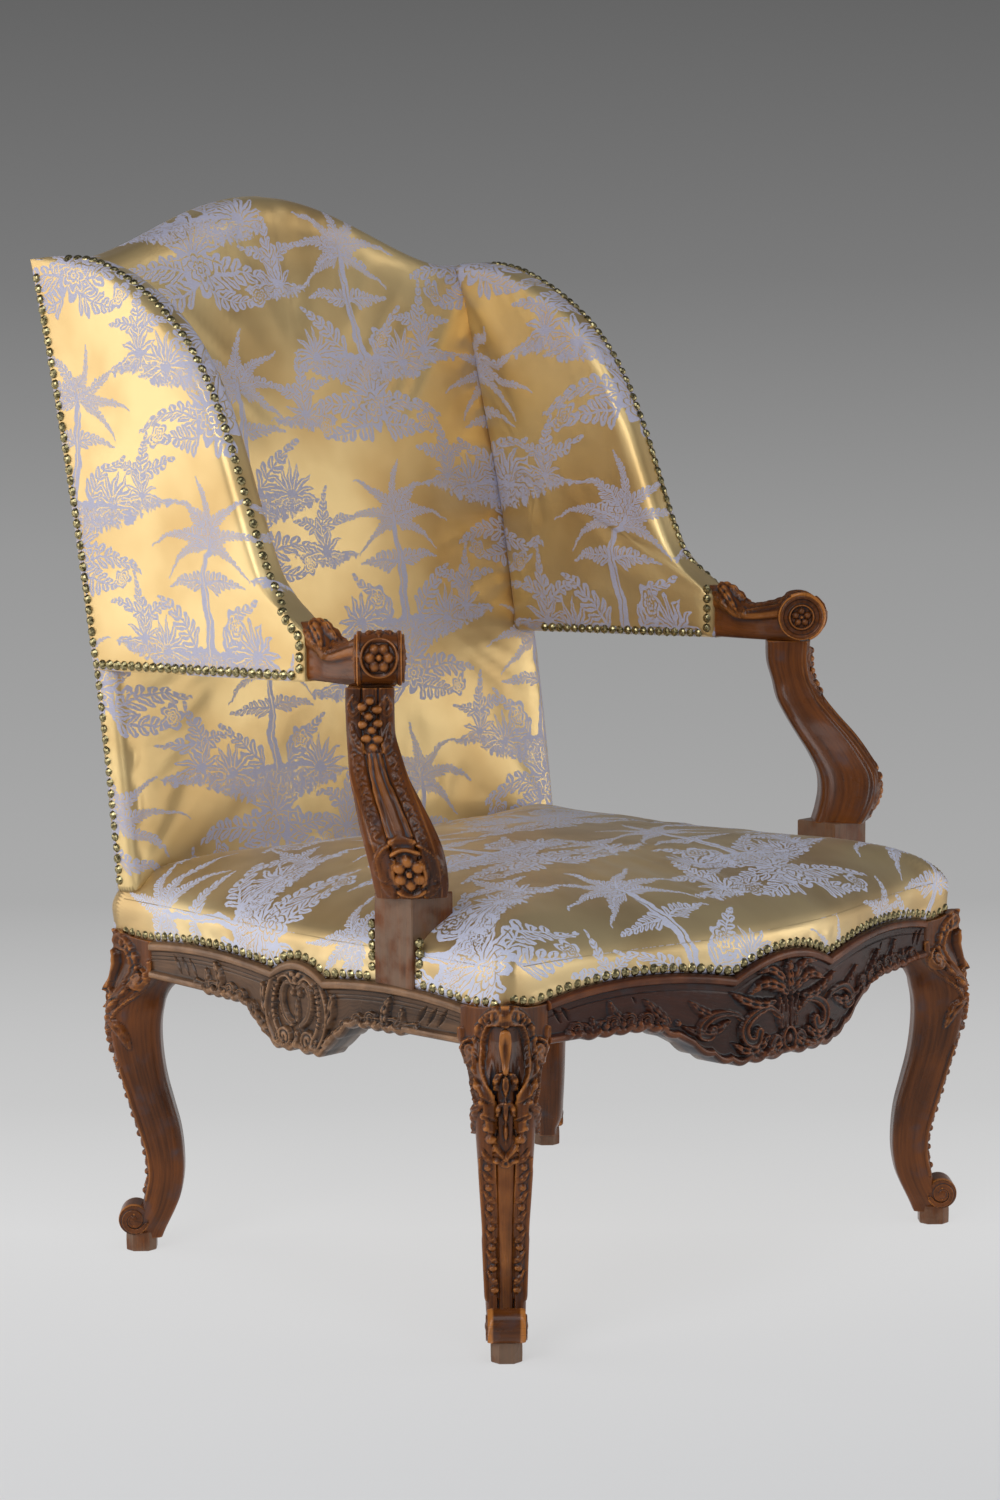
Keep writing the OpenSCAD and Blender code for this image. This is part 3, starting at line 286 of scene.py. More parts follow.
# Below the carved ground: cut hollows hold dust, and the ground lowered beside strokes is painted shade.
hollows = 1 - (given["Relief"] + (uneven - 0.5) * 0.9).ramp(-0.36, -0.02)
sunk = hollows | (low * uneven.ramp(0.50, 0.62) * 0.6)
join(wear_and_shade_group, sunk * not_plain * 0.85, out["Dust and shade"])
# Painted shade in the creases, where the surface turns inward.
join(wear_and_shade_group, low * not_plain * 0.85, out["Crease shade"])
join(wear_and_shade_group, (1 - not_plain) * uneven.ramp(0.3, 0.6), out["Plain"])


def walnut(name, dark, light, worn, dust_and_shade):
    """Waxed walnut with its own depth of stain, wear, dust and painted shade."""
    material, tree, sockets = new_material(name)
    along = texture(tree, "UVMap", None, "UV")
    place = texture(tree, "NewGeometry", None, "Position")
    grain = placed(tree, wood_grain, Along=along)
    wear = placed(tree, wear_and_shade_group, Relief=texture(tree, "Attribute", None, "Fac", attribute_name="relief"),
                  Place=place)
    patches = texture(tree, "TexNoise", place, "Fac", scale=9.0, detail=3.0)
    body = blended(tree, (grain["Figure"] * 0.7 + patches * 0.5).ramp(0.35, 0.85), dark, light)
    body = blended(tree, wear["Plain"] * 0.55, body, (0.25, 0.175, 0.12))
    worn_and_shaded = blended(tree, wear["Worn"] * (0.5 + grain["Figure"] * 0.7), body, worn)
    # Painted shade: creases darken towards three tenths of the dark stain.
    worn_and_shaded = blended(tree, wear["Crease shade"], worn_and_shaded, tuple(c * 0.3 for c in dark))
    # The dust colour is also the painted shade in hollows and beside raised strokes.
    colour = blended(tree, wear["Dust and shade"], worn_and_shaded, dust_and_shade)
    join(tree, blended(tree, grain["Pores"] * 0.35, colour, (0.03, 0.015, 0.008)), sockets["Base Color"])
    join(tree, 0.29 + wear["Dust and shade"] * 0.25 + (patches - 0.5) * 0.2 - wear["Worn"] * 0.05,
         sockets["Roughness"])
    sockets["Specular IOR Level"].default_value = 0.24
    sockets["Coat Weight"].default_value = 0.12
    sockets["Coat Roughness"].default_value = 0.10
    join(tree, bumped(tree, grain["Figure"] - grain["Pores"] * 0.6, 0.0004, 0.5), sockets["Normal"])
    return material


leg_wood = walnut("walnut of the legs", (0.024, 0.007, 0.002), (0.24, 0.068, 0.011), (0.60, 0.22, 0.048),
                  (0.050, 0.060, 0.078))
front_wood = walnut("walnut of the front rail", (0.014, 0.005, 0.003), (0.070, 0.019, 0.009),
                    (0.36, 0.115, 0.035), (0.036, 0.043, 0.055))
side_wood = walnut("walnut of the side rails", (0.030, 0.015, 0.009), (0.185, 0.094, 0.045),
                   (0.60, 0.33, 0.17), (0.016, 0.015, 0.016))

# Lines of the seat frame: the plan bows at the front and sides, and the carved upper and lower edges
# of the rails rise and fall in scallops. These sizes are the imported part's own, in millimetres.
seat_wide, seat_wide_back = 730.0, 686.0
corner_front, corner_rear = -346.54, 259.46
seat_deep = corner_rear - corner_front
seat_middle = (corner_front + corner_rear) / 2
carved_edge, plain_underside, block = 350.0, 310.0, 60.0
rail_thick, rebate, bow_front, bow_side, scallop = 34.0, 7.0, 55.0, 12.0, 14.0
apron_front, apron_side = 50.0, 38.0
cusp_front, cusp_corner, cusp_side = 78.0, seat_wide / 2 - 43, 40.0
shell_y = seat_middle - 10


def ease(t):
    """A smooth step from 0 to 1."""
    t = np.clip(t, 0, 1)
    return t * t * (3 - 2 * t)


def hump(u):
    """A smooth hump that is 1 at 0 and falls to 0 at -1 and 1."""
    return np.cos(np.pi / 2 * np.clip(u, -1, 1)) ** 2


def arch(u):
    """A round arch that is 0 at 0 and 1, and 1 in the middle."""
    return 4 * u * (1 - u)


def between(a, b, t):
    """A value between two others."""
    return a + (b - a) * t


def through(t, table, column):
    """Smooth curve through one column of a table whose first column rises."""
    table = np.asarray(table, float)
    x, y = table[:, 0], table[:, column]
    lean = np.concatenate([[(y[1] - y[0]) / (x[1] - x[0])], (y[2:] - y[:-2]) / (x[2:] - x[:-2]),
                           [(y[-1] - y[-2]) / (x[-1] - x[-2])]])
    i = np.clip(np.searchsorted(x, t, side="right") - 1, 0, len(x) - 2)
    h = x[i + 1] - x[i]
    u = np.clip((t - x[i]) / h, 0, 1)
    swing = h * u * (1 - u) * (lean[i] * (1 - u) - lean[i + 1] * u)
    return between(y[i], y[i + 1], u * u * (3 - 2 * u)) + swing


def side_x(y):
    """Half width of the seat frame over its side rails."""
    along = (y - corner_front) / seat_deep
    return between(seat_wide, seat_wide_back, along) / 2 + bow_side * hump(2 * along - 1)


def front_y(x):
    """The bowed face of the front rail."""
    return corner_front - bow_front * hump(2 * x / seat_wide)


def front_edge(x):
    """Height of the scalloped upper edge of the front rail."""
    a = np.abs(x)
    middle_arch = 4 / 3 * scallop * arch((x + cusp_front) / (2 * cusp_front))
    outer_arch = scallop * arch((a - cusp_front) / (cusp_corner - cusp_front))
    corner_rise = scallop / 2 * ease((a - cusp_corner) / (seat_wide / 2 - cusp_corner))
    return carved_edge + np.where(a < cusp_front, middle_arch,
                                  np.where(a < cusp_corner, outer_arch, corner_rise))


def side_edge(y):
    """Height of the scalloped upper edge of a side rail."""
    a = np.abs(y - shell_y)
    far = seat_deep / 2 - block - np.where(y > shell_y, -10.0, 10.0)
    rise = np.where(a < cusp_side, scallop * arch((a + cusp_side) / (2 * cusp_side)),
                    scallop / 2 * arch((a - cusp_side) / (far - cusp_side)))
    return carved_edge + np.where(a < far, rise, 0)


def ripple(a, start, end, pitch, depth):
    """Small lobes of the carved lower edge between two places."""
    return depth * np.abs(np.sin(np.pi * (a - start) / pitch)) * ((a > start) & (a < end))


def front_bottom(x):
    """Height of the lower edge of the front rail: a deep apron in the middle, with lobes along it."""
    a = np.abs(x)
    apron = plain_underside - apron_front * (1 - ease((a - 66) / 130))
    return apron - ripple(a, 10, 130, 24, 3.6) - ripple(a, 150, 266, 19, 3)


def side_bottom(y):
    """Height of the lower edge of a side rail, with a smaller apron under the shell."""
    a = np.abs(y - shell_y)
    apron = plain_underside - apron_side * (1 - ease((a - 30) / 60))
    return apron - ripple(a, 5, 41, 18, 4) - ripple(a, 60, 156, 16, 3.4)


# Carver's strokes: every ornament is cut as scrolls, leaves, beads and gouge marks on a flat ground.
# Each stroke raises or lowers the ground where it passes.
def running(steps):
    """Sums of the steps so far, from 0 on."""
    return np.concatenate([[0], np.cumsum(steps)])


class Carving:
    """Height of the carved ground over a sheet of places (s, t), in millimetres."""

    def __init__(self, s, t):
        self.s, self.t = np.broadcast_arrays(np.asarray(s, float), np.asarray(t, float))
        self.height = np.zeros(self.s.shape)

    def near(self, path, reach):
        """The places that a stroke can touch."""
        low, high = path.min(0) - reach, path.max(0) + reach
        return (self.s > low[0]) & (self.s < high[0]) & (self.t > low[1]) & (self.t < high[1])

    def follow(self, path, here):
        """Distance from a line of points, and how far along it."""
        s, t = self.s[here], self.t[here]
        best, share = np.full(s.shape, 1e9), np.zeros(s.shape)
        steps = np.hypot(*np.diff(path, axis=0).T)
        start = running(steps) / steps.sum()
        for a, b, s0, s1 in zip(path[:-1], path[1:], start[:-1], start[1:]):
            d = b - a
            u = np.clip(((s - a[0]) * d[0] + (t - a[1]) * d[1]) / (d @ d), 0, 1)
            distance = np.hypot(s - a[0] - u * d[0], t - a[1] - u * d[1])
            closer = distance < best
            best[closer] = distance[closer]
            share[closer] = between(s0, s1, u)[closer]
        return best, share

    def rise(self, here, height):
        """Raise the ground to a stroke where the stroke stands higher."""
        self.height[here] = np.maximum(self.height[here], height)

    def scroll(self, path, width, height, hollow=0.5, start=0.4, end=1.0):
        """A raised band with a hollow along its middle, tapering from start to end of its path."""
        here = self.near(path, width)
        distance, share = self.follow(path, here)
        x = distance / (width * between(start, end, ease(share * 1.4)))
        self.rise(here, height * ease((1 - x) / 0.3) * (1 - hollow * (1 - np.clip(x, 0, 1) ** 2) ** 1.5))

    def leaf(self, path, width, height, lobes=5, point=0.75):
        """An acanthus leaf along its rib, with rounded lobes, veins and a lifted tip."""
        here = self.near(path, width)
        distance, share = self.follow(path, here)
        body = np.sin(np.pi * np.clip(share, 0, 1) ** point) ** 0.7
        x = distance / np.maximum(width * body, 0.3)
        wave = share * lobes - 0.45 * np.clip(x, 0, 1.2)
        x = x / (0.70 + 0.30 * np.abs(np.sin(np.pi * wave)))
        surface = 0.62 + 0.38 * np.cos(np.pi * np.clip(x, 0, 1)) + 0.17 * np.cos(2 * np.pi * wave)
        surface = surface - 0.45 * np.exp(-(distance / 1.3) ** 2) + 0.35 * ease((share - 0.7) / 0.3)
        self.rise(here, height * ease((1 - x) / 0.28) * np.clip(surface, 0.12, 2))

    def berry(self, centre, radius, height):
        """A round bead."""
        here = np.hypot(self.s - centre[0], self.t - centre[1]) < radius
        x = np.hypot(self.s[here] - centre[0], self.t[here] - centre[1]) / radius
        self.rise(here, height * np.sqrt(1 - x * x))

    def ring(self, centre, radius, width, height, stretch=1.0):
        """A round wire, or an oval one."""
        r = np.hypot(self.s - centre[0], (self.t - centre[1]) / stretch)
        here = np.abs(r - radius) < width
        self.rise(here, height * np.sqrt(1 - ((r[here] - radius) / width) ** 2))

    def rosette(self, centre, radius, height, petals=5, stretch=1.0):
        """Round petals with a bead in their middle, inside a raised ring."""
        self.ring(centre, radius, radius * 0.11, height, stretch)
        for angle in np.arange(petals) * 2 * np.pi / petals + np.pi / 2:
            middle = (centre[0] + radius * 0.50 * cos(angle),
                      centre[1] + radius * 0.50 * sin(angle) * stretch)
            self.berry(middle, radius * 0.31, height * 1.3)
            tip = (centre[0] + radius * 0.70 * cos(angle), centre[1] + radius * 0.70 * sin(angle) * stretch)
            self.berry(tip, radius * 0.17, height * 0.8)
        self.berry(centre, radius * 0.19, height * 1.6)

    def cut(self, path, width, depth):
        """A gouge mark, deepest in its middle."""
        here = self.near(path, width)
        distance, share = self.follow(path, here)
        x = distance / (width * np.maximum(0.15, np.sin(np.pi * share)))
        self.height[here] -= depth * np.clip(1 - x * x, 0, 1)

    def score(self, line, width, depth, where=1):
        """A fine line at some height, which stops at the strokes."""
        groove = np.clip(1 - ((self.t - line) / width) ** 2, 0, 1)
        self.height -= depth * groove * (self.height < 0.3) * where


def curve(*points, n=26):
    """Smooth line through a few points of two coordinates."""
    p = np.asarray(points, float)
    t = np.linspace(0, len(p) - 1, n)
    table = np.column_stack([np.arange(len(p)), p])
    return np.column_stack([through(t, table, 1), through(t, table, 2)])


def volute(centre, radius, start, turns, n=34, eye=0.12):
    """Line that winds in from a radius to an eye. Negative turns wind the other way."""
    share = np.linspace(0, 1, n)
    angle = radians(start) + 2 * np.pi * turns * share
    r = radius * (1 - (1 - eye) * share ** 0.8)
    return np.column_stack([centre[0] + r * np.cos(angle), centre[1] + r * np.sin(angle)])


def on_side(m):
    """A maker of smooth lines on one half of a mirrored ornament: m is 1 or -1."""
    return lambda *points, n=26: curve(*[(m * a, b) for a, b in points], n=n)


# Meshes of the carved pieces: sheets of points in rows along the piece, closed round it. The relief
# is pushed out along the surface, and kept as an attribute so that wear, dust and painted shade can follow
# it.
MM = 0.001
plain, full_stroke = -9.0, 3.0


def carved(grid, height):
    """Points pushed outward by a height."""
    along = np.gradient(grid, axis=0)
    wide = np.concatenate([grid[:, -1:], grid, grid[:, :1]], axis=1)
    normal = np.cross(wide[:, 2:] - wide[:, :-2], along)
    normal /= np.maximum(np.linalg.norm(normal, axis=2, keepdims=True), 1e-9)
    outward = grid - grid.mean(axis=1, keepdims=True)
    return grid + normal * height[..., None] * np.sign((normal * outward).sum())


def softened(height, rounds):
    """A grid of heights, averaged with its neighbours some times over."""
    for _ in range(rounds):
        wide = np.pad(height, 1, mode="edge")
        height = (wide[:-2, 1:-1] + wide[2:, 1:-1] + wide[1:-1, :-2] + wide[1:-1, 2:] + height) / 5
    return height


def beside(height):
    """Where a carved sheet lies in the shadow of a raised stroke next to it, in millimetres."""
    return np.maximum(softened(height, 7) - height, 0)


def box_sheet(low, high, bevel=1.0):
    """A box with slightly rounded edges, as a sheet of rings from its bottom to its top."""
    (x0, y0, z0), (x1, y1, z1), b = low, high, bevel
    rings = []
    for i, z in ((b, z0), (0, z0 + b), (0, (z0 + z1) / 2), (0, z1 - b), (b, z1)):
        rings.append([(x0 + i, y0 + b, z), (x0 + b, y0 + i, z), (x1 - b, y0 + i, z), (x1 - i, y0 + b, z),
                      (x1 - i, y1 - b, z), (x1 - b, y1 - i, z), (x0 + b, y1 - i, z), (x0 + i, y1 - b, z)])
    return np.array(rings, float)


def joined(name, points, faces, uv, material, relief=None):
    """A smooth object of some faces, with UVs per point in metres."""
    mesh = bpy.data.meshes.new(name)
    mesh.from_pydata((np.asarray(points) * MM).tolist(), [], faces)
    if relief is not None:
        kept = mesh.attributes.new("relief", "FLOAT", "POINT")
        kept.data.foreach_set("value", np.asarray(relief, np.float32))
    corners = np.empty(len(mesh.loops), np.int32)
    mesh.loops.foreach_get("vertex_index", corners)
    mesh.uv_layers.new(name="UVMap").data.foreach_set("uv", np.asarray(uv, np.float32)[corners].ravel())
    mesh.polygons.foreach_set("use_smooth", np.ones(len(mesh.polygons), bool))
    mesh.materials.append(material)
    made = bpy.data.objects.new(name, mesh)
    bpy.context.scene.collection.objects.link(made)
    return made


def timber(name, parts, material, flip=False):
    """A wooden piece made of closed sheets. A part is its points, and its relief where it is carved.

    The places of the parts on the wood lie apart, so that each has its own stretch of grain.
    """
    points, faces, places, reliefs, smooth, total = [], [], [], [], [], 0
    apart = 37.0
    for part in parts:
        grid, relief = part if isinstance(part, tuple) else (part, np.full(part.shape[:2], plain))
        grid = grid * (-1, 1, 1) if flip else grid
        rows, columns = relief.shape
        a, b = grid[:-1], np.roll(grid, -1, axis=1)[:-1]
        if np.einsum("ijk,ijk->", a - grid.mean((0, 1)), np.cross(b - a, grid[1:] - a)) < 0:
            grid, relief = grid[:, ::-1], relief[:, ::-1]
        i, j = np.arange(rows - 1)[:, None], np.arange(columns)[None]
        k = (j + 1) % columns
        quads = np.stack([i * columns + j, i * columns + k, (i + 1) * columns + k, (i + 1) * columns + j],
                         -1) + total
        faces += quads.reshape(-1, 4).tolist()
        faces.append([total + c for c in range(columns)][::-1])
        faces.append([total + (rows - 1) * columns + c for c in range(columns)])
        smooth += [relief.max() > plain] * ((rows - 1) * columns) + [False, False]
        round_it, lengthwise = (
            running(np.linalg.norm(np.diff(grid, axis=1 - axis), axis=2).mean(axis)) for axis in (0, 1))
        place = np.broadcast_arrays(round_it[None] + apart * len(places), lengthwise[:, None])
        places.append(np.stack(place, -1).reshape(-1, 2) * MM)
        points.append(grid.reshape(-1, 3))
        reliefs.append(relief.ravel())
        total += rows * columns
    made = joined(name + "_carved", np.concatenate(points), faces, np.concatenate(places), material,
                  np.concatenate(reliefs) / full_stroke)
    made.data.polygons.foreach_set("use_smooth", np.array(smooth, bool))
    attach(made, "root")
    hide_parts(name)
    return made


# Cabriole legs: each is swept along an S-shaped line that leans out on the diagonal. A reed between
# two grooves turns into the square block, the knee carries a shield, and the foot is a scroll on a block.
foot_w, foot_h, foot_r, foot_at, ankle, band_top = 31.0, 22.0, 17.0, (15, 0, 36), 42.0, 200.0
diagonal = block * 2 ** 0.5
# Stations of the leg: height as a share of the rail's underside, outer and inner face along the
# diagonal, and half width. Sections: half width and depth as shares, from the outer middle round.
leg_line = [
    [0.030, -7, -43, 13.5], [0.070, -9, -48, 13.5], [0.110, -16, -54, 18], [0.150, -22, -60, 19.5],
    [0.200, -26, -66, 20], [0.275, -30, -70, 21], [0.355, -28, -70, 22], [0.440, -21, -67, 23],
    [0.530, -13, -60, 24.8], [0.620, -5, -53, 26.5], [0.710, 3, -49, 28.2], [0.800, 8, -48, 30.1],
    [0.870, 9, -51, 31.6], [0.935, 8, -59, 33], [0.985, 6, -76, 38.6], [1.030, 2, -diagonal, diagonal / 2]]
fluted = [[0, 1], [0.27, 0.95], [0.38, 0.76], [0.47, 0.96], [0.70, 0.95], [0.90, 0.82], [1, 0.5],
          [0.96, -0.3], [0.66, -0.94], [0, -1]]
squared = [[0, 0.97], [0.08, 0.92], [0.17, 0.83], [0.3, 0.7], [0.48, 0.52], [0.74, 0.26], [1, 0],
           [0.7, -0.3], [0.35, -0.65], [0, -1]]


def round_section(half, n):
    """A half section, smoothed and mirrored, as two columns of shares."""
    half = np.asarray(half, float)
    around = running(np.hypot(*np.diff(half, axis=0).T))
    t = np.linspace(0, 1, n)
    table = np.column_stack([around / around[-1], half])
    side = np.column_stack([through(t, table, 1), through(t, table, 2)])
    return np.concatenate([side, side[-2:0:-1] * (-1, 1)])


def signed_round(grid):
    """Distance from the first column, counted both ways round a closed sheet."""
    steps = np.linalg.norm(np.diff(np.concatenate([grid, grid[:, :1]], axis=1), axis=1), axis=2)
    forth = np.concatenate([np.zeros((len(grid), 1)), np.cumsum(steps, axis=1)[:, :-1]], axis=1)
    whole = steps.sum(axis=1, keepdims=True)
    return np.where(forth < whole / 2, forth, forth - whole)


def leg_carving(s, z):
    """Shield on the knee, with bell drops in it, scrolls beside it, and banded edges down the leg."""
    cut = Carving(s, z)
    for m in (1, -1):
        path = on_side(m)
        cut.leaf(path((3, 336), (9, 346), (19, 352)), 6, 3.6, 3)
        border = path((1, 203), (10, 214), (19, 236), (24, 262), (31, 290), (33, 318), (24, 338),
                       (8, 342), n=44)
        cut.scroll(border, 7.0, 4.6, 0.62, 0.75)
        for k, p in enumerate(border[1::3]):
            cut.berry(p + (m * 5.4, 0), 4.6 if k % 2 else 3.8, 4.0)
        for p, q in zip(border[3::4], border[4::4]):
            cut.cut(np.array([p + (m * -3, -3), q + (m * 8, 2)]), 1.4, 1.8)
        cut.scroll(volute((m * 46, 306), 12, 90, m * -1.4), 4.2, 3.8, 0.3)
        cut.scroll(path((36, 262), (46, 280), (56, 300), (58, 326)), 3.6, 3.0, 0.4)
        cut.leaf(path((30, 262), (44, 250), (50, 228)), 9, 3.6, 4)
        cut.leaf(path((2, 292), (8, 287), (11, 274)), 4.4, 4.6, 2)
        cut.leaf(path((1, 264), (6, 260), (8, 249)), 3.8, 4.0, 2)
        for z0 in np.arange(68, band_top, 21.5):
            edge = between(12.5, 20, (z0 - 60) / 140)
            cut.berry((m * (edge + 3.5), z0), 3.7, 2.5)
            cut.leaf(path((edge - 1, z0 + 5), (edge + 4, z0 + 10), (edge + 10, z0 + 18)), 4.6, 2.2, 3)
            cut.cut(path((edge - 1, z0 + 9), (edge + 4, z0 + 14), (edge + 9, z0 + 21)), 1.5, 1.8)
        cut.scroll(np.array([(m * 9.5, 60), (m * 13.0, 130), (m * 17.0, 204)]), 1.9, 1.8, 0.0, 1.0)
        cut.scroll(np.array([(m * 24.5, 58), (m * 27.5, 130), (m * 31.0, 206)]), 2.0, 1.9, 0.0, 1.0)
    cut.leaf(curve((0, 334), (0, 346), (0, 356)), 7, 4.2, 3)
    cut.leaf(curve((0, 334), (0, 318), (0, 288)), 7.5, 6.0, 1, 0.6)
    cut.leaf(curve((0, 290), (0, 281), (0, 269)), 4.6, 5.0, 1)
    cut.leaf(curve((0, 266), (0, 256), (0, 243)), 3.8, 4.4, 1)
    cut.leaf(curve((0, 243), (0, 234), (0, 222)), 2.6, 4.0, 1)
    # The ground inside the shield is hollow, and the strokes stand bolder than they are drawn.
    wide = np.interp(z, [204, 236, 262, 318, 340], [0, 15, 20, 29, 18])
    inside = (np.abs(cut.s) < wide) & (z < 340)
    cut.height = np.where(inside & (cut.height < 0.4), -3.0 + 1.2 * np.abs(cut.s) / 30, cut.height)
    return np.where(cut.height > 0, cut.height * 1.4, cut.height)


def corner_placed(points, side, rear):
    """From distances inward from a corner of the seat frame to their place on the chair."""
    wide = seat_wide_back if rear else seat_wide
    x = side * (wide / 2 - points[..., 0])
    y = corner_rear - points[..., 1] if rear else corner_front + points[..., 1]
    return np.stack([x, y, points[..., 2]], -1)


# Sine and cosine of the diagonal.
slant = 0.5 ** 0.5


def turned(points):
    """From lengthwise along the diagonal and across it to the frame of a corner: a turn of 45 degrees."""
    x, y, z = points[..., 0], points[..., 1], points[..., 2]
    return np.stack([(x - y) * slant, (x + y) * slant, z], -1)


def drum(radius, width, face, barrel=None, across=12, n=160, rows=36):
    """A scroll seen from both ends: a disc with its two faces and its round side carved."""
    angle = np.linspace(0, 2 * np.pi, n, endpoint=False)
    r = np.concatenate([np.linspace(0.4, radius, rows), np.full(across, radius),
                        np.linspace(radius, 0.4, rows)])
    side = np.concatenate([np.full(rows, -1.0), np.linspace(-1, 1, across), np.full(rows, 1.0)])[:, None]
    u, v = r[:, None] * np.cos(angle), r[:, None] * np.sin(angle)
    flat = np.abs(side) > 0.999
    ends = Carving(u, v)
    face(ends)
    around = Carving(radius * np.where(angle > np.pi, angle - 2 * np.pi, angle)[None], side * width / 2)
    if barrel:
        barrel(around)
    lift = np.where(flat, ends.height, around.height)
    swell = np.where(flat, 1 - 0.06 * (r[:, None] > radius - 0.8), 1 + around.height / radius)
    return np.stack([u * swell, side * (width / 2 - 0.8 + flat * ends.height), v * swell], -1), lift


def foot_face(cut):
    """The scroll on each side of a foot."""
    cut.scroll(volute((0, 0), foot_r * 0.84, 200, 1.6, 60, 0.22), foot_r * 0.2, 1.8, 0.25, 0.8)
    cut.berry((0, 0), foot_r * 0.32, 2.6)


def leg(name, side, rear, extra=()):
    """A leg with its block, scroll foot and toe. The rear ones run on as posts of the back."""
    step, n = (1.4, 60) if rear else (1.2, 82)
    z = np.arange(14.0, carved_edge + 0.5, step)[:, None]
    f = z / plain_underside
    outer, inner, half = (through(f, leg_line, k) for k in (1, 2, 3))
    # The fluted section turns into the square block under the rails.
    mix = ease((f - 0.86) / 0.16)
    p = between(round_section(fluted, n)[None], round_section(squared, n)[None], mix[..., None])
    out, over = between(inner, outer, (p[..., 1] + 1) / 2), p[..., 0] * half
    grid = turned(np.stack([-out, over, z + 0 * over], -1))
    # The block rises a little towards the outer corner of the frame.
    corner = np.hypot(grid[..., 0], grid[..., 1])
    grid[..., 2] += ease((z - 335) / 15) * 7 * np.exp(-(corner / 22) ** 2)
    height = leg_carving(signed_round(grid), z + 0 * over) * ease((z - 50) / 12)
    shown = ease((p[..., 1] * np.ones_like(over) + 0.55) / 0.35)
    # The reed in the middle is rubbed bright. The stripes between it and the edges of the leg take the dark
    # dust-and-shade colour, and the ground beside raised strokes is painted with shade.
    s = np.abs(signed_round(grid))
    fade = 1 - ease((z - band_top) / 10)
    reed = 4.0 * (1 - ease((s - between(3, 8, (z - 50) / 150)) / 3)) * fade
    band = ease((s - 12) / 3) * (1 - ease((s - 30) / 4)) * fade
    worn = np.maximum(height * shown - 1.5 * band * shown - 1.3 * beside(height * shown), reed * shown)
    parts = [(corner_placed(carved(grid, height * shown), side, rear), worn)]
    scroll, relief = drum(foot_r, ankle - 3, foot_face)
    scroll = scroll * (-1, 1, 1) + foot_at
    parts.append((corner_placed(turned(scroll), side, rear), relief))
    toe, heel, a, b = 5.5, 38.5, foot_w / 2, foot_w / 4
    outline = np.array([[toe, b - a], [toe + b, -a], [heel - b, -a], [heel, b - a],
                        [heel, a - b], [heel - b, a], [toe + b, a], [toe, a - b]])
    middle = outline.mean(0)
    rings = [np.column_stack([middle + (outline - middle) * (1 - inset / a), np.full(8, height)])
             for inset, height in ((1.2, 0), (0.2, 1), (0, 8), (0, 16), (0.3, 20.5), (1.5, foot_h))]
    parts.append(corner_placed(turned(np.array(rings)), side, rear))
    return timber(name, parts + list(extra), leg_wood)


back_rise, rake, back_hollow = 730.0, 129.0, 16.0


def back_y(z):
    """The raked and slightly hollow rear face of the back."""
    u = (z - carved_edge) / back_rise
    return corner_rear + rake * u - back_hollow * arch(np.minimum(1, u)) + 4 * np.maximum(0, u - 1)


def stile(side):
    """The plain upper part of a rear post, with one corner taken off."""
    z = np.linspace(345, 1072, 60)[:, None]
    x = np.array([301.4, 328, 334.4, 334.4, 301.4])[None] * side + 0 * z
    return np.stack([x, back_y(z) + np.array([-22.8, -22.8, -16, -1.8, -1.8])[None], z + 0 * x], -1)


leg("front_left_leg", -1, False)
leg("front_right_leg", 1, False)
leg("rear_left_post", -1, True, [stile(-1)])
leg("rear_right_post", 1, True, [stile(1)])

# Front rail: bowed, with a worn raised edge along its scalloped top and a thin lip along the deep
# apron below. A wide cartouche of leaves and scrolls fills its middle, and small clasps flank it.
# Top of the rails behind their face, and the step of the grids of the rails and arm supports.
rail_top, carved_step = 388.0, 1.25


def rail_sheet(edge, bottom):
    """Section of a rail at each station: depth behind the face, height, and where the face is carved."""
    top, low = edge - 11, bottom + 10
    n = int(np.max(top - low) / carved_step)
    share = np.linspace(0, 1, n)
    face = between(top[:, None], low[:, None], share[None])
    wide = np.ones_like(edge)[:, None]
    depth = np.concatenate([wide * [rail_thick, rebate, rebate, 5.5, 1.5, -1.2, -2, -2, -1, 1.6],
                            2.6 + 0 * face, wide * [1, -1.6, -2, -1.8, 0, 2, rail_thick]], axis=1)
    low_rim = bottom[:, None] + np.array([8.4, 6.6, 4.4, 2.2, 0.6, 0, 0])[None]
    height = np.concatenate([np.full((len(edge), 2), rail_top),
                             edge[:, None] + np.array([0.6, 0, -0.2, -2.4, -4, -7.6, -9, -10.2])[None],
                             face, low_rim], axis=1)
    on_face = np.concatenate([np.zeros(10), np.ones(n), [1, 0.9, 0.7, 0.4, 0.1, 0, 0]])
    return depth, height, on_face


def rail(name, at, edge, bottom, place, carve, material, flip=False):
    """A rail swept through its stations. The carving is drawn over its face, and its rims are worn."""
    depth, height, on_face = rail_sheet(edge, bottom)
    relief = carve(at[:, None] + 0 * height, height) * on_face
    rims = (depth < 0) * 4.6
    grid = place(at[:, None] + 0 * depth, depth - relief, height)
    # Beside each raised stroke the wood is painted dark with shade.
    worn = np.maximum(0.80 * relief - 2.0 * beside(relief), rims)
    worn[:, [0, -1]] = plain
    return timber(name, [(grid, worn)], material, flip)


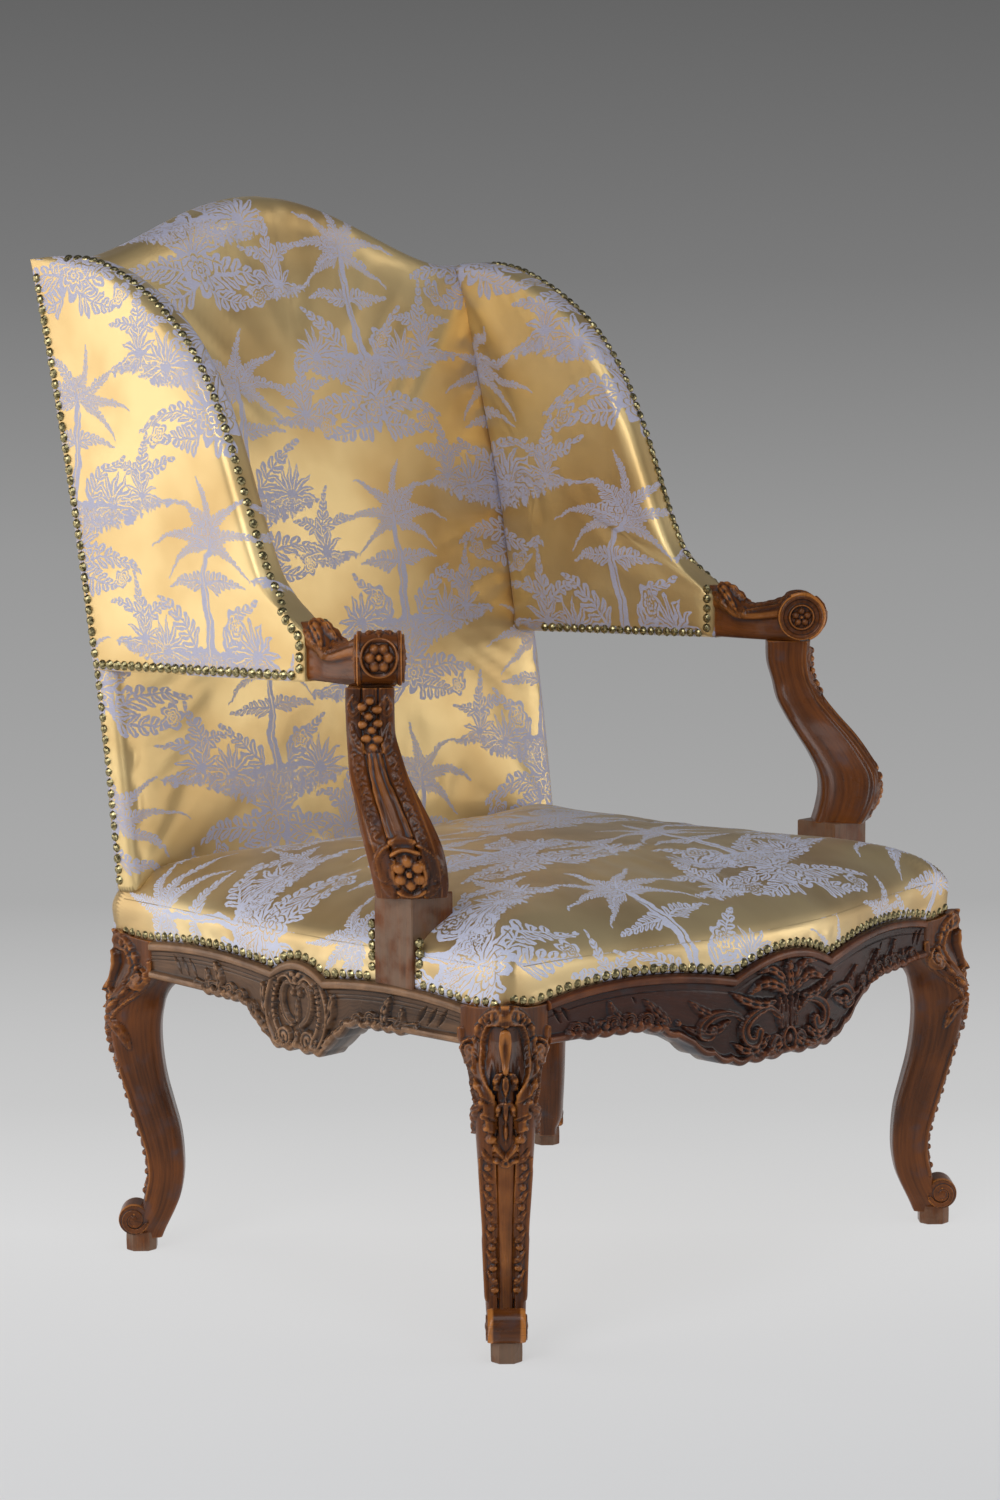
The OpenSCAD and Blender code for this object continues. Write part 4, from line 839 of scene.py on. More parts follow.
def front_carving(x, z):
    """The cartouche with its plume and leaves, the scrolls beside it and a line under the edge."""
    cut = Carving(x, z)
    for m in (1, -1):
        path = on_side(m)
        cut.leaf(path((2, 322), (16, 332), (38, 338), (60, 330)), 10, 4.5, 5)
        cut.leaf(path((4, 330), (14, 343), (30, 352), (48, 350)), 8, 4.2, 4)
        cut.leaf(path((20, 318), (40, 316), (62, 322), (84, 334)), 9, 4.0, 5)
        cut.scroll(path((12, 300), (30, 312), (52, 308), (66, 296), (62, 282), (50, 280), (46, 289), n=40),
                   6, 4.6, 0.5)
        cut.scroll(path((60, 300), (80, 312), (104, 314), (120, 306), (122, 296), (112, 293), (108, 300),
                        n=40), 5, 4.0, 0.5)
        cut.leaf(path((104, 312), (122, 320), (136, 332)), 7, 3.2, 4)
        cut.leaf(path((84, 306), (104, 298), (128, 300), (146, 308)), 8, 3.4, 5)
        cut.leaf(path((30, 284), (44, 274), (64, 272), (82, 282)), 9, 4.2, 5)
        cut.leaf(path((8, 282), (16, 272), (34, 266), (52, 268)), 8, 4.4, 4)
        cut.scroll(path((4, 266), (10, 276), (20, 280), (27, 272), (22, 264), n=30), 3.6, 3.6, 0.4)
        cut.scroll(volute((150, 311), 9, 200, m * 1.3), 2.8, 2.6, 0.3)
        cut.berry((m * 150, 311), 3.4, 3.0)
        for spread in (-1, 0, 1):
            cut.leaf(path((252, 310), (252 + spread * 8, 322), (252 + spread * 15, 330 - abs(spread) * 5)),
                     5.5, 3.0, 3)
        for place in (178, 196, 282, 293):
            cut.cut(path((place - 4, 328), (place, 337), (place + 7, 344)), 3.0, 2.2)
        for fold in (7, 15):
            cut.scroll(path((fold, 318), (fold + 1, 306), (fold - 1, 294)), 2.4, 2.6, 0.2)
    cut.leaf(curve((0, 324), (0, 342), (0, 358)), 9, 4.8, 4)
    for fold in (-10, -3.5, 3.5, 10):
        cut.scroll(curve((fold * 1.5, 322), (fold, 306), (fold * 1.1, 290)), 3.2, 3.4, 0.35)
    cut.berry((0, 276), 7.5, 3.2)
    cut.ring((0, 276), 9.5, 2.0, 3.4, 1.25)
    for m in (1, -1):
        path = on_side(m)
        for place, height in ((168, 313), (188, 319), (208, 321), (228, 321), (272, 320)):
            cut.scroll(volute((m * place, height), 8.5, 90 - m * 100, m * 1.2, 30), 3.2, 3.4, 0.35)
            cut.berry((m * (place + 9), height - 2), 4.2, 3.6)
        cut.leaf(path((160, 312), (176, 324), (190, 340)), 9, 3.4, 4)
        cut.leaf(path((214, 320), (226, 330), (232, 344)), 7, 3.0, 3)
    # The strokes stand bolder than they are drawn, and the line under the edge is cut last.
    cut.height *= 1.8
    cut.score(front_edge(x) - 17, 0.9, 0.9)
    return cut.height


stations = np.arange(-306, 306.5, carved_step)
rail("front_rail", stations, front_edge(stations), front_bottom(stations),
     lambda x, d, z: np.stack([x, front_y(x) + d, z], -1), front_carving, front_wood)


# Side rails: flatter than the front one, with a shell of scrolls and leaves in the middle, small
# scrolled balls along the lower edge and a leaf clasp towards each corner.
def side_carving(y, z):
    """The shell with its frill, the scrolls along the lower edge and the clasps at both ends."""
    s = y - shell_y
    cut = Carving(s, z)
    for m in (1, -1):
        path = on_side(m)
        cut.scroll(path((2, 344), (14, 351), (28, 346), (37, 332), (41, 314), (38, 296), (30, 282), n=46), 8,
                   8.5, 0.6, 0.7)
        cut.scroll(volute((m * 19, 284), 11.5, 90 - m * 90, -m * 1.5, 40), 4.6, 8.0, 0.4)
        for a in np.arange(0.4, 2.6, 0.26):
            cut.cut(path((19 + 6 * sin(a), 320 + 15 * cos(a)), (32 + 6 * sin(a), 320 + 27 * cos(a))), 1.8,
                    3.0)
        cut.scroll(path((3, 336), (12, 341), (20, 334), (22, 320), (17, 306), (8, 298), n=34), 3.6, 6.0, 0.3,
                   0.7)
        cut.berry((m * 5, 331), 4.2, 5.5)
        cut.berry((m * 5.5, 350), 4.4, 6.5)
        cut.leaf(path((40, 298), (50, 312), (54, 336)), 9, 7.0, 3)
        cut.leaf(path((38, 284), (54, 290), (68, 306)), 10, 7.0, 4)
        cut.scroll(path((56, 296), (70, 302), (86, 312), (104, 317), (124, 318), n=36), 4.2, 5.5, 0.35, 1.0)
        for place, height in ((72, 305), (90, 314), (108, 318)):
            cut.scroll(volute((m * place, height), 9, 90 - m * 120, m * 1.3, 30), 3.2, 6.0, 0.35)
            cut.berry((m * (place + 9), height - 3), 4.8, 6.5)
        cut.leaf(path((132, 312), (127, 326), (136, 345)), 9, 6.5, 4)
        cut.leaf(path((136, 312), (148, 320), (152, 336)), 8, 5.5, 3)
        cut.scroll(path((122, 318), (138, 322), (156, 318), (170, 320)), 3.4, 4.5, 0.3)
        for place in (176, 190, 204):
            cut.cut(path((place - 6, 322), (place, 331), (place + 8, 341)), 3.2, 3.0)
    cut.leaf(curve((0, 292), (0, 282), (0, 272)), 6, 7.0, 2)
    cut.leaf(curve((0, 300), (0, 312), (0, 326)), 6, 4.5, 3)
    for depth in (15.5, 19.5):
        cut.score(side_edge(y) - depth, 0.8, 0.7, np.abs(s) > 44)
    return cut.height


stations = np.arange(corner_front + block - 1, corner_rear - block + 1, carved_step)
for name, side in (("left_rail", -1), ("right_rail", 1)):
    rail(name, stations, side_edge(stations), side_bottom(stations),
         lambda y, d, z: np.stack([side_x(y) - d, y, z], -1), side_carving, side_wood, side < 0)


# Arm supports: S-shaped, turned 45 degrees outward, with a smooth panel between two grooves that are
# only painted dark, a rosette near the foot and a hanging bunch of berries under the scroll. Each stands
# on a plain post.
wing_front, arm_middle, arm_sweep, arm_reach, arm_under = -41.54, 322.7, 11.0, 105.0, 648.8
post_x, post_middle_x, post_middle_y, post_front, post_top = 364.5, 335.5, -193.54, -220.54, 446.0
post_wide, post_deep, rail_face = 58, 54, 368.2
panel_low, panel_high = 508, 586
arm_scroll_r, arm_scroll_w, arm_scroll_up = 26, 47, 28
splay = radians(45)
# Stations of a support: height as a share, steps outward and back, half width and half depth.
support_line = [
    [0.00, 6, -4, 35, 29], [0.07, 11, -8, 37, 31], [0.17, 17, -10, 38, 33], [0.27, 20, -6, 38, 34],
    [0.37, 18, 6.2, 36, 33], [0.47, 14, 21.1, 32.6, 32], [0.57, 9, 37.2, 29.4, 29],
    [0.67, 3, 49.6, 26.7, 26], [0.77, 0, 57.7, 24.5, 23], [0.88, -3, 62, 24.5, 24],
    [1.00, -3, 62, 24.5, 25]]
support_shape = [[0, 1], [0.26, 0.98], [0.33, 0.86], [0.42, 0.95], [0.78, 0.9], [1, 0.74], [0.92, 0.56],
                 [0.82, -0.6], [0.6, -0.96], [0, -1]]


def support_carving(s, z):
    """Berries at the top, ribs and side bands on the shaft, and the rosette at its foot."""
    cut = Carving(s, z)
    for x, y in ((0, 636), (-7, 630), (6, 627), (-1, 620), (7, 613), (-7, 612), (1, 606), (-4, 598),
                 (5, 597), (0, 589)):
        cut.berry((x, y), 5.0, 6.0)
    for m in (1, -1):
        path = on_side(m)
        cut.leaf(path((8, 584), (18, 596), (22, 614)), 7, 3.0, 4)
        cut.leaf(path((6, 622), (16, 632), (20, 642)), 6, 3.0, 3)
        cut.scroll(path((20, 640), (24, 630), (19, 622), (14, 628)), 3.0, 2.6, 0.3)
        for z0 in np.arange(panel_low, panel_high + 2, 13.5):
            edge = 21 + 5 * ease((560 - z0) / 60)
            cut.scroll(path((edge - 4, z0 - 5), (edge + 3, z0), (edge - 3, z0 + 5)), 2.4, 1.8, 0.3)
            cut.ring((m * (edge + 1.5), z0 + 7), 2.3, 1.0, 1.6)
        cut.leaf(path((6, 452), (20, 452), (32, 462)), 8, 3.0, 4)
        cut.leaf(path((26, 464), (34, 476), (33, 492)), 6, 2.8, 4)
        cut.scroll(path((2, 505), (16, 502), (28, 494), (35, 482)), 2.6, 2.4, 0.15, 0.8)
        cut.scroll(np.array([(m * 4.2, 584), (m * 8.0, 548), (m * 12.8, 509)]), 2.3, 2.2, 0.0, 0.8)
    cut.scroll(np.array([(0, 588), (0, 548), (0, 509)]), 6.4, 2.6, 0.0, 0.35)
    cut.scroll(curve((-14, 503), (0, 508), (14, 503)), 2.6, 3.2, 0.0, 1.0)
    cut.rosette((0, 474), 20, 5.0, 6, 1.16)
    return cut.height


def support(name, side):
    """A carved support on its plain square post, with the tenon behind the side rail."""
    z = np.arange(post_top, arm_under, carved_step)[:, None]
    u = (z - post_top) / (arm_under - 0.3 - post_top)
    over, back, half, deep = (through(u, support_line, k) for k in (1, 2, 3, 4))
    shape = round_section(support_shape, 72)[None]
    a, b = shape[..., 0] * half, shape[..., 1] * deep
    x = -post_middle_x - over + a * cos(splay) - b * sin(splay)
    y = post_middle_y + back - a * sin(splay) - b * cos(splay)
    grid = np.stack([x, y, z + 0 * x], -1)
    s = signed_round(grid)
    height = support_carving(s, z + 0 * s) * (np.abs(s) < 52)
    inner, rear = post_x - post_wide, post_front + post_deep
    behind = rail_face - rail_thick
    band = ease((np.abs(s) - 15) / 2) * (1 - ease((np.abs(s) - 29) / 2))
    panel = 4.3 * (1 - ease((np.abs(s) - 9) / 5)) * ease((panel_high - z) / 8) * ease((z - panel_low) / 8)
    edge = 4.8 * np.exp(-((np.abs(s) - 33) / 2.2) ** 2)
    fan = (panel_high - z) / (panel_high - panel_low)
    groove = np.exp(-((np.abs(s) - 3.0 - 4.6 * fan) / 1.0) ** 2) * (panel > 0.5)
    # The side bands are lowered into the dark dust-and-shade colour, the ground beside raised strokes is
    # painted with shade, and the grooves are painted darkest, with no cut.
    worn = np.maximum(np.maximum(height - 1.6 * band * ease((z - 500) / 10) - 1.3 * beside(height), panel),
                      edge) - 7.5 * groove
    parts = [(carved(grid, height), worn),
             box_sheet((-post_x, post_front, 348), (-inner, rear, post_top + 1), 1.2),
             box_sheet((-behind, post_front, 302), (-inner, rear, 349), 1.0)]
    return timber(name, parts, leg_wood, side > 0)


support("left_arm_support", -1)
support("right_arm_support", 1)

# Arms: low rails that come out of the wings, dip to a waist and end on a scroll turned outward,
# with a rosette on each side of the scroll and an acanthus leaf over it.
# Stations of an arm: place along its reach as a share, sweep, height and half width.
arm_line = [
    [-0.15, 0, 58, 14.5], [0.05, 0, 57, 14.5], [0.16, 0.02, 52, 16.5], [0.30, 0.10, 40, 19.5],
    [0.46, 0.24, 38, 21], [0.66, 0.46, 42, 23], [0.84, 0.72, 48, 23], [1.00, 1.00, 52, 22]]
arm_shape = [[0, 1], [0.42, 0.99], [0.68, 0.9], [0.84, 0.84], [1, 0.74], [0.98, 0.62], [0.86, 0.55],
             [0.84, 0.12], [0.72, 0], [0, 0]]


def arm_carving(s, y):
    """Acanthus clasp where the arm leaves the wing, small scrolls and side fillets."""
    cut = Carving(s, y)
    for m in (1, -1):
        path = on_side(m)
        cut.leaf(path((3, 30), (8, 50), (13, 74)), 8, 2.8, 5)
        cut.leaf(path((8, 70), (16, 86), (19, 104)), 7, 2.8, 4)
        cut.leaf(path((5, 0), (12, 14), (21, 34)), 9, 6.0, 4)
        cut.leaf(path((15, -4), (20, 8), (27, 22)), 7, 5.0, 3)
        cut.scroll(volute((m * 21, 38), 6.5, 90 - m * 90, m * 1.2, 30), 2.6, 4.0, 0.3)
        cut.scroll(path((20, 44), (17.5, 60), (19, 84), (21, 103)), 2.0, 2.4, 0.0, 1.0)
    cut.leaf(curve((0, -4), (0, 14), (0, 32)), 9, 6.5, 4)
    cut.leaf(curve((0, 26), (0, 60), (0, 104)), 7, 3.2, 6)
    return cut.height


def arm_face(cut):
    """The ring and rosette on each side of the arm's scroll."""
    cut.ring((0, 0), 22.5, 2.4, 2.6)
    cut.rosette((0, 0), 13.5, 3.2)


def arm_barrel(cut):
    """The leaf and rosette over the round of the arm's scroll."""
    cut.rosette((3, 0), 18.5, 4.2, 6)
    for m in (1, -1):
        cut.scroll(np.array([(-30.0, m * 21.0), (20, m * 22), (52, m * 20)]), 2.4, 2.2, 0.1, 1)
        cut.leaf(curve((62, m * 3), (48, m * 8), (32, m * 12)), 8, 3.2, 4)
    cut.leaf(curve((70, 0), (48, 0), (26, 0)), 7, 3.6, 5)


def arm(name, side):
    """An arm with its scroll, and the plain rail that runs on inside the wing."""
    f = np.linspace(-0.15, 0.99, 110)[:, None]
    turn = splay * ease((f - 0.1) / 0.9)
    sweep, high, half = (through(f, arm_line, k) for k in (1, 2, 3))
    shape = round_section(arm_shape, 52)[None]
    x = -arm_middle - arm_sweep * sweep + shape[..., 0] * half * np.cos(turn)
    y = wing_front - f * arm_reach - shape[..., 0] * half * np.sin(turn)
    grid = np.stack([x, y, arm_under + shape[..., 1] * high], -1)
    s = signed_round(grid)
    height = arm_carving(s, f * arm_reach + 0 * s) * (shape[..., 1] > 0.5)
    lip = 5 * np.exp(-((np.abs(shape[..., 0]) - 1) / 0.08) ** 2) * (shape[..., 1] > 0.5) - 0.4
    scroll, relief = drum(arm_scroll_r, arm_scroll_w, arm_face, arm_barrel, across=56, n=180, rows=40)
    px, py = scroll[..., 1], -scroll[..., 0]
    scroll = np.stack([px * slant + py * slant, -px * slant + py * slant, scroll[..., 2]], -1)
    scroll += (-arm_middle - arm_sweep, wing_front - arm_reach, arm_under + arm_scroll_up)
    hidden = box_sheet((-arm_middle - 14.5, wing_front + 14, arm_under),
                       (-arm_middle + 14.5, 240, arm_under + 38))
    # Beside raised strokes the wood is painted dark with shade.
    return timber(name, [(carved(grid, height), np.maximum(height - 1.3 * beside(height), lip)),
                         (scroll, relief), hidden], leg_wood, side > 0)


arm("left_arm", -1)
arm("right_arm", 1)

# Silk: a gold satin ground with a large woven design of leafy trees, boughs, blossoms and patches of
# ground in matt silvery lavender. The design is drawn in metres and its fine lines are gold.
def split(tree, vector):
    """The first two coordinates of a vector."""
    node = tree.nodes.new("ShaderNodeSeparateXYZ")
    join(tree, vector, node.inputs[0])
    return Shade(tree, node.outputs[0]), Shade(tree, node.outputs[1])


def paired(tree, x, y):
    """A vector of two coordinates."""
    node = tree.nodes.new("ShaderNodeCombineXYZ")
    join(tree, x, node.inputs[0])
    join(tree, y, node.inputs[1])
    return Shade(tree, node.outputs[0])


def motif(name, labels):
    """A group that draws one motif: a mask of its figure and a mask of its fine lines."""
    inputs = {label: "Float" for label in ["X", "Y"] + labels.split(", ")}
    group, given, out = new_group(name, inputs, {"Figure": "Float", "Lines": "Float"})
    return group, [given[label] for label in inputs], out


def turned_place(x, y, angle):
    """Coordinates seen from a stem that points up at some angle in degrees from the X axis."""
    c, s = cos(radians(angle)), sin(radians(angle))
    return x * c + y * s, y * c - x * s


leaf_spray, (x, y, length, width, bend, count), out = motif("leaf spray", "Length, Width, Bend, Leaves")
off = abs(y - bend * x * x)
share = x / length
reach_out = width * (1.12 - share) * (share * 6 & 1)
q = off / (reach_out | 0.0005)
slanted = (x - off * 0.85) / length
cell = abs((slanted * count).math("FRACT") - 0.5)
body = (q * (1 - q) * 4) | 0
blade = (cell < body.math("POWER", 0.65) * 0.43) & (q < 1) & (slanted > 0) & (share < 1)
stem = (off < 0.0016 - share * 0.0009) & (x > 0) & (share < 1)
join(leaf_spray, blade | stem, out["Figure"])
join(leaf_spray, (cell < 0.065) & (q < 0.75) & (q > 0.08) & blade, out["Lines"])

leaf_fan, (x, y, radius, count, width, droop), out = motif("leaf fan", "Radius, Count, Width, Droop")
fallen = y + droop * x * x
r = (x * x + fallen * fallen).math("SQRT")
turn_round = fallen.math("ARCTAN2", x) / (2 * np.pi)
cell = abs((turn_round * count + 0.25).math("FRACT") - 0.5) * (r * 2 * np.pi / count)
q = r / radius
blade = (cell < radius * width * q * (1 - q)) & (fallen > -0.006)
join(leaf_fan, blade, out["Figure"])
join(leaf_fan, (cell < 0.0006) & (q > 0.2) & (q < 0.85) & blade, out["Lines"])

blossom, (x, y, radius, count), out = motif("blossom", "Radius, Petals")
r = (x * x + y * y).math("SQRT")
wave = abs((y.math("ARCTAN2", x) * count * 0.5).math("COSINE"))
edge = radius * (0.66 + wave * 0.34)
rings = (abs(r - edge * 0.66) < 0.0009) | (abs(r - edge * 0.36) < 0.0009) | (abs(r - radius * 0.12) < 0.0007)
rays = (wave * r < 0.0010) & (r > edge * 0.36)
join(blossom, r < edge, out["Figure"])
join(blossom, (rings | rays) & (r < edge), out["Lines"])

island, (x, y, length, height), out = motif("patch of ground", "Half Width, Height")
ragged = texture(island, "TexNoise", paired(island, x * 3, y), "Fac", scale=60.0, detail=3.0) - 0.5
dome = 1 - (x / length) * (x / length)
under_top = y < dome * height * 0.5 + ragged * 0.012
over_foot = y > dome * height * -1.0 + ragged * 0.022
inside = under_top & over_foot & (abs(x) < length)
hatch = (y * 190 + ragged * 6).math("FRACT") < 0.26
join(island, inside, out["Figure"])
join(island, hatch & inside & (ragged > -0.06) & (y < dome * height * 0.25), out["Lines"])

woven, given, out = new_group("woven design", {"Place": "Vector"}, {"Figure": "Float", "Lines": "Float"})
wander = woven.nodes.new("ShaderNodeVectorMath")
wander.operation = "MULTIPLY_ADD"
rough = texture(woven, "TexNoise", given["Place"], "Color", scale=16.0, detail=4.0, roughness=0.62)
join(woven, rough, wander.inputs[0])
wander.inputs[1].default_value = (0.030, 0.030, 0)
join(woven, given["Place"], wander.inputs[2])
u, v = split(woven, Shade(woven, wander.outputs[0]))
tile_w, tile_h = 0.222, 0.306


def lattice(rise, shift=0.0, high=tile_h):
    """Place inside a tile of a half-drop repeat, and a random number for the tile."""
    aside = u / tile_w + shift
    column = aside.math("FLOOR")
    drop = v / high + column * 0.5 + rise
    row = drop.math("FLOOR")
    chance = texture(woven, "TexWhiteNoise", paired(woven, column, row), "Value", noise_dimensions="2D")
    side = (chance > 0.5) * 2 - 1
    return (aside - column - 0.5) * tile_w * side, (drop - row - 0.5) * high, chance


def drawn(kind, x, y, angle=0, **values):
    """A motif placed in the design, turned by an angle in degrees."""
    x, y = turned_place(x, y, angle) if angle else (x, y)
    made = placed(woven, kind, X=x, Y=y, **values)
    return made["Figure"], made["Lines"]


def together(*drawings):
    """Several motifs as one."""
    figure, lines = drawings[0]
    for next_figure, next_lines in drawings[1:]:
        figure, lines = figure | next_figure, lines | next_lines
    return figure, lines


# A tall palm on a patch of ground, with fronds at its top and smaller plants round its foot.
x, y, chance = lattice(0.0)
lean = x - (y + 0.1) * (chance - 0.3) * 0.22
fold = abs(lean)
trunk = (abs(lean + (y * 46).math("SINE") * 0.003) < 0.0050 - y * 0.022) & (y > -0.092) & (y < 0.048)
grove = together((trunk, (abs(lean - 0.0012) < 0.0006) & trunk),
                 drawn(island, x, y + 0.094, Half_Width=0.112, Height=0.024),
                 drawn(leaf_spray, y - 0.040, lean, Length=0.062, Width=0.011, Bend=3.0, Leaves=11.0),
                 drawn(leaf_spray, fold - 0.001, y - 0.038, 60, Length=0.064, Width=0.012, Bend=-8.0,
                       Leaves=11.0),
                 drawn(leaf_spray, fold - 0.001, y - 0.034, 30, Length=0.074, Width=0.0125, Bend=-9.0,
                       Leaves=13.0),
                 drawn(leaf_spray, fold - 0.001, y - 0.030, 2, Length=0.062, Width=0.0115, Bend=-10.0,
                       Leaves=11.0),
                 drawn(leaf_spray, fold - 0.002, y + 0.020, 24, Length=0.058, Width=0.014, Bend=-6.5,
                       Leaves=7.0),
                 drawn(leaf_spray, fold - 0.022, y + 0.084, 58, Length=0.080, Width=0.020, Bend=-3.4,
                       Leaves=6.0),
                 drawn(leaf_fan, fold - 0.070, y + 0.088, Radius=0.040, Count=17.0, Width=0.34, Droop=8.0),
                 drawn(blossom, x + 0.040, y + 0.058, Radius=0.0185, Petals=6.0))
# A bough of leaves with a large blossom, half a repeat away.
x, y, chance = lattice(0.5)
fold = abs(x - y * 0.2)
bough = together(drawn(blossom, x - 0.004, y - 0.008, Radius=0.026, Petals=7.0),
                 drawn(leaf_spray, fold - 0.014, y - 0.004, 24, Length=0.094, Width=0.021, Bend=-5.5,
                       Leaves=7.0),
                 drawn(leaf_spray, fold - 0.010, y + 0.006, -26, Length=0.076, Width=0.020, Bend=4.0,
                       Leaves=6.0),
                 drawn(blossom, fold - 0.082, y + 0.012, Radius=0.014, Petals=5.0),
                 drawn(leaf_fan, x, y - 0.020, Radius=0.044, Count=15.0, Width=0.36, Droop=4.0))
# Small sprigs between them, twice as often.
x, y, chance = lattice(0.30, 0.5, tile_h / 2)
fold = abs(x + y * 0.3)
sprig = together(drawn(leaf_fan, x, y + 0.030, Radius=0.034, Count=13.0, Width=0.34, Droop=9.0),
                 drawn(leaf_spray, y + 0.020, x, Length=0.066, Width=0.015, Bend=-3.0, Leaves=6.0),
                 drawn(leaf_spray, fold - 0.003, y + 0.006, 34, Length=0.046, Width=0.013, Bend=-7.0,
                       Leaves=4.0),
                 drawn(island, x, y + 0.034, Half_Width=0.052, Height=0.012))
figure, lines = together(grove, bough, sprig)
join(woven, figure * (1 - lines), out["Figure"])
join(woven, lines, out["Lines"])


def silk(name, lit_gold, shaded_gold, silver):
    """Satin that shines like metal, with a matt figure. The ground is painted lit and shaded gold in soft
    patches.
    """
    material, tree, sockets = new_material(name)
    place = texture(tree, "UVMap", None, "UV")
    design = placed(tree, woven, Place=place)
    blotch = texture(tree, "TexNoise", place, "Fac", scale=7.0, detail=3.0)
    thread = texture(tree, "TexNoise", scaled(tree, place, (260, 2200, 1)), "Fac", scale=1.0, detail=2.0)
    ground = blended(tree, blotch.ramp(0.35, 0.7), lit_gold, shaded_gold)
    matt = blended(tree, thread.ramp(0.3, 0.7), silver, tuple(c * 0.86 for c in silver))
    join(tree, blended(tree, design["Figure"], ground, matt), sockets["Base Color"])
    join(tree, 0.80 - design["Figure"] * 0.74, sockets["Metallic"])
    join(tree, 0.41 + design["Figure"] * 0.15 + (thread - 0.5) * 0.10, sockets["Roughness"])
    slack = texture(tree, "TexNoise", place, "Fac", scale=5.0, detail=1.0)
    join(tree, bumped(tree, thread * 0.10 + design["Figure"] * 0.2 + slack * 5.0, MM, 0.4),
         sockets["Normal"])
    sockets["Sheen Weight"].default_value = 0.12
    return material


gold_silk = silk("gold silk", (0.76, 0.57, 0.27), (0.58, 0.39, 0.16), (0.52, 0.505, 0.63))
# The seat has a lit copy of the silk: its figure is paler and bluer, painted cool light from above.
lit_seat_silk = silk("gold silk of the seat with painted light", (0.78, 0.60, 0.31), (0.56, 0.39, 0.18), (0.68, 0.70, 0.85))


# Padded pieces: a square grid is laid over each outline, with rows that run in from its edge through a
# profile of inset and height. Its underside is closed flat, so the piece is one solid cushion.
def ring_table(outline, corners):
    """The outline as a table over 0 to 4, with its four corners at whole numbers."""
    outline = np.asarray(outline, float)
    n = len(outline)
    table = []
    for k in range(4):
        a, b = corners[k], corners[(k + 1) % 4]
        index = np.arange(a, b + 1 if b > a else b + n + 1) % n
        run = outline[index]
        length = running(np.linalg.norm(np.diff(run, axis=0), axis=1))
        table.append(np.column_stack([k + length / length[-1], run])[:-1])
    table = np.concatenate(table)
    return np.concatenate([table, [np.concatenate([[4], table[0, 1:]])]])


row_width, near_edge, far_edge = 4.0, 20, 140


def cushion_grid(table, centre, profile, n, border_rows):
    """A square grid of 2n+1 points a side: plan, height, unrolled place, and the outline beside each."""
    profile = np.asarray(profile, float)
    along = running(np.hypot(np.diff(profile[:, 0]), np.diff(profile[:, 1])))
    profile = np.column_stack([along, profile])
    # Each point's ring, and how far round the ring it lies, in quarters.
    i, j = np.meshgrid(np.arange(-n, n + 1), np.arange(-n, n + 1), indexing="ij")
    r = np.maximum(abs(i), abs(j))
    q = np.maximum(r, 1)
    turn = np.select([(j == -r), (i == r), (j == r)],
                     [(i / q + 1) / 2, 1 + (j / q + 1) / 2, 2 + (1 - i / q) / 2],
                     3 + (1 - j / q) / 2) % 4
    edge = np.stack([np.interp(turn, table[:, 0], table[:, k + 1]) for k in range(table.shape[1] - 1)], -1)
    # Rows near the edge have an even width, and the others share what is left of the profile.
    row, fine, border = (n - r) / n, border_rows / n, border_rows * row_width
    rest = (row - fine) / (1 - fine)
    e = np.where(row < fine, row / fine * border, border + (along[-1] - border) * rest)
    inset = np.interp(e, profile[:, 0], profile[:, 1])
    height = np.interp(e, profile[:, 0], profile[:, 2])
    v = centre - edge[..., :2]
    far = np.linalg.norm(v, axis=-1)
    share = between(inset / far, np.clip(inset / profile[-1, 1], 0, 1), ease((inset - near_edge) / far_edge))
    plan = edge[..., :2] + v * share[..., None]
    inner = ease((e - 2 * near_edge) / far_edge)
    flat = edge[..., :2] + v * ((e - along[2]) / far * (1 - inner) + share * inner)[..., None]
    return plan, height, flat, edge


def grid_quads(index):
    """Faces of a grid of point numbers."""
    return np.stack([index[:-1, :-1], index[1:, :-1], index[1:, 1:], index[:-1, 1:]], -1).reshape(-1, 4)


def faced(quads, points, middle):
    """Faces turned so that they look away from a middle."""
    a, b, c = (points[quads[:, k]] for k in (0, 1, 2))
    return quads[:, ::-1] if np.einsum("ij,ij->", a - middle, np.cross(b - a, c - a)) < 0 else quads


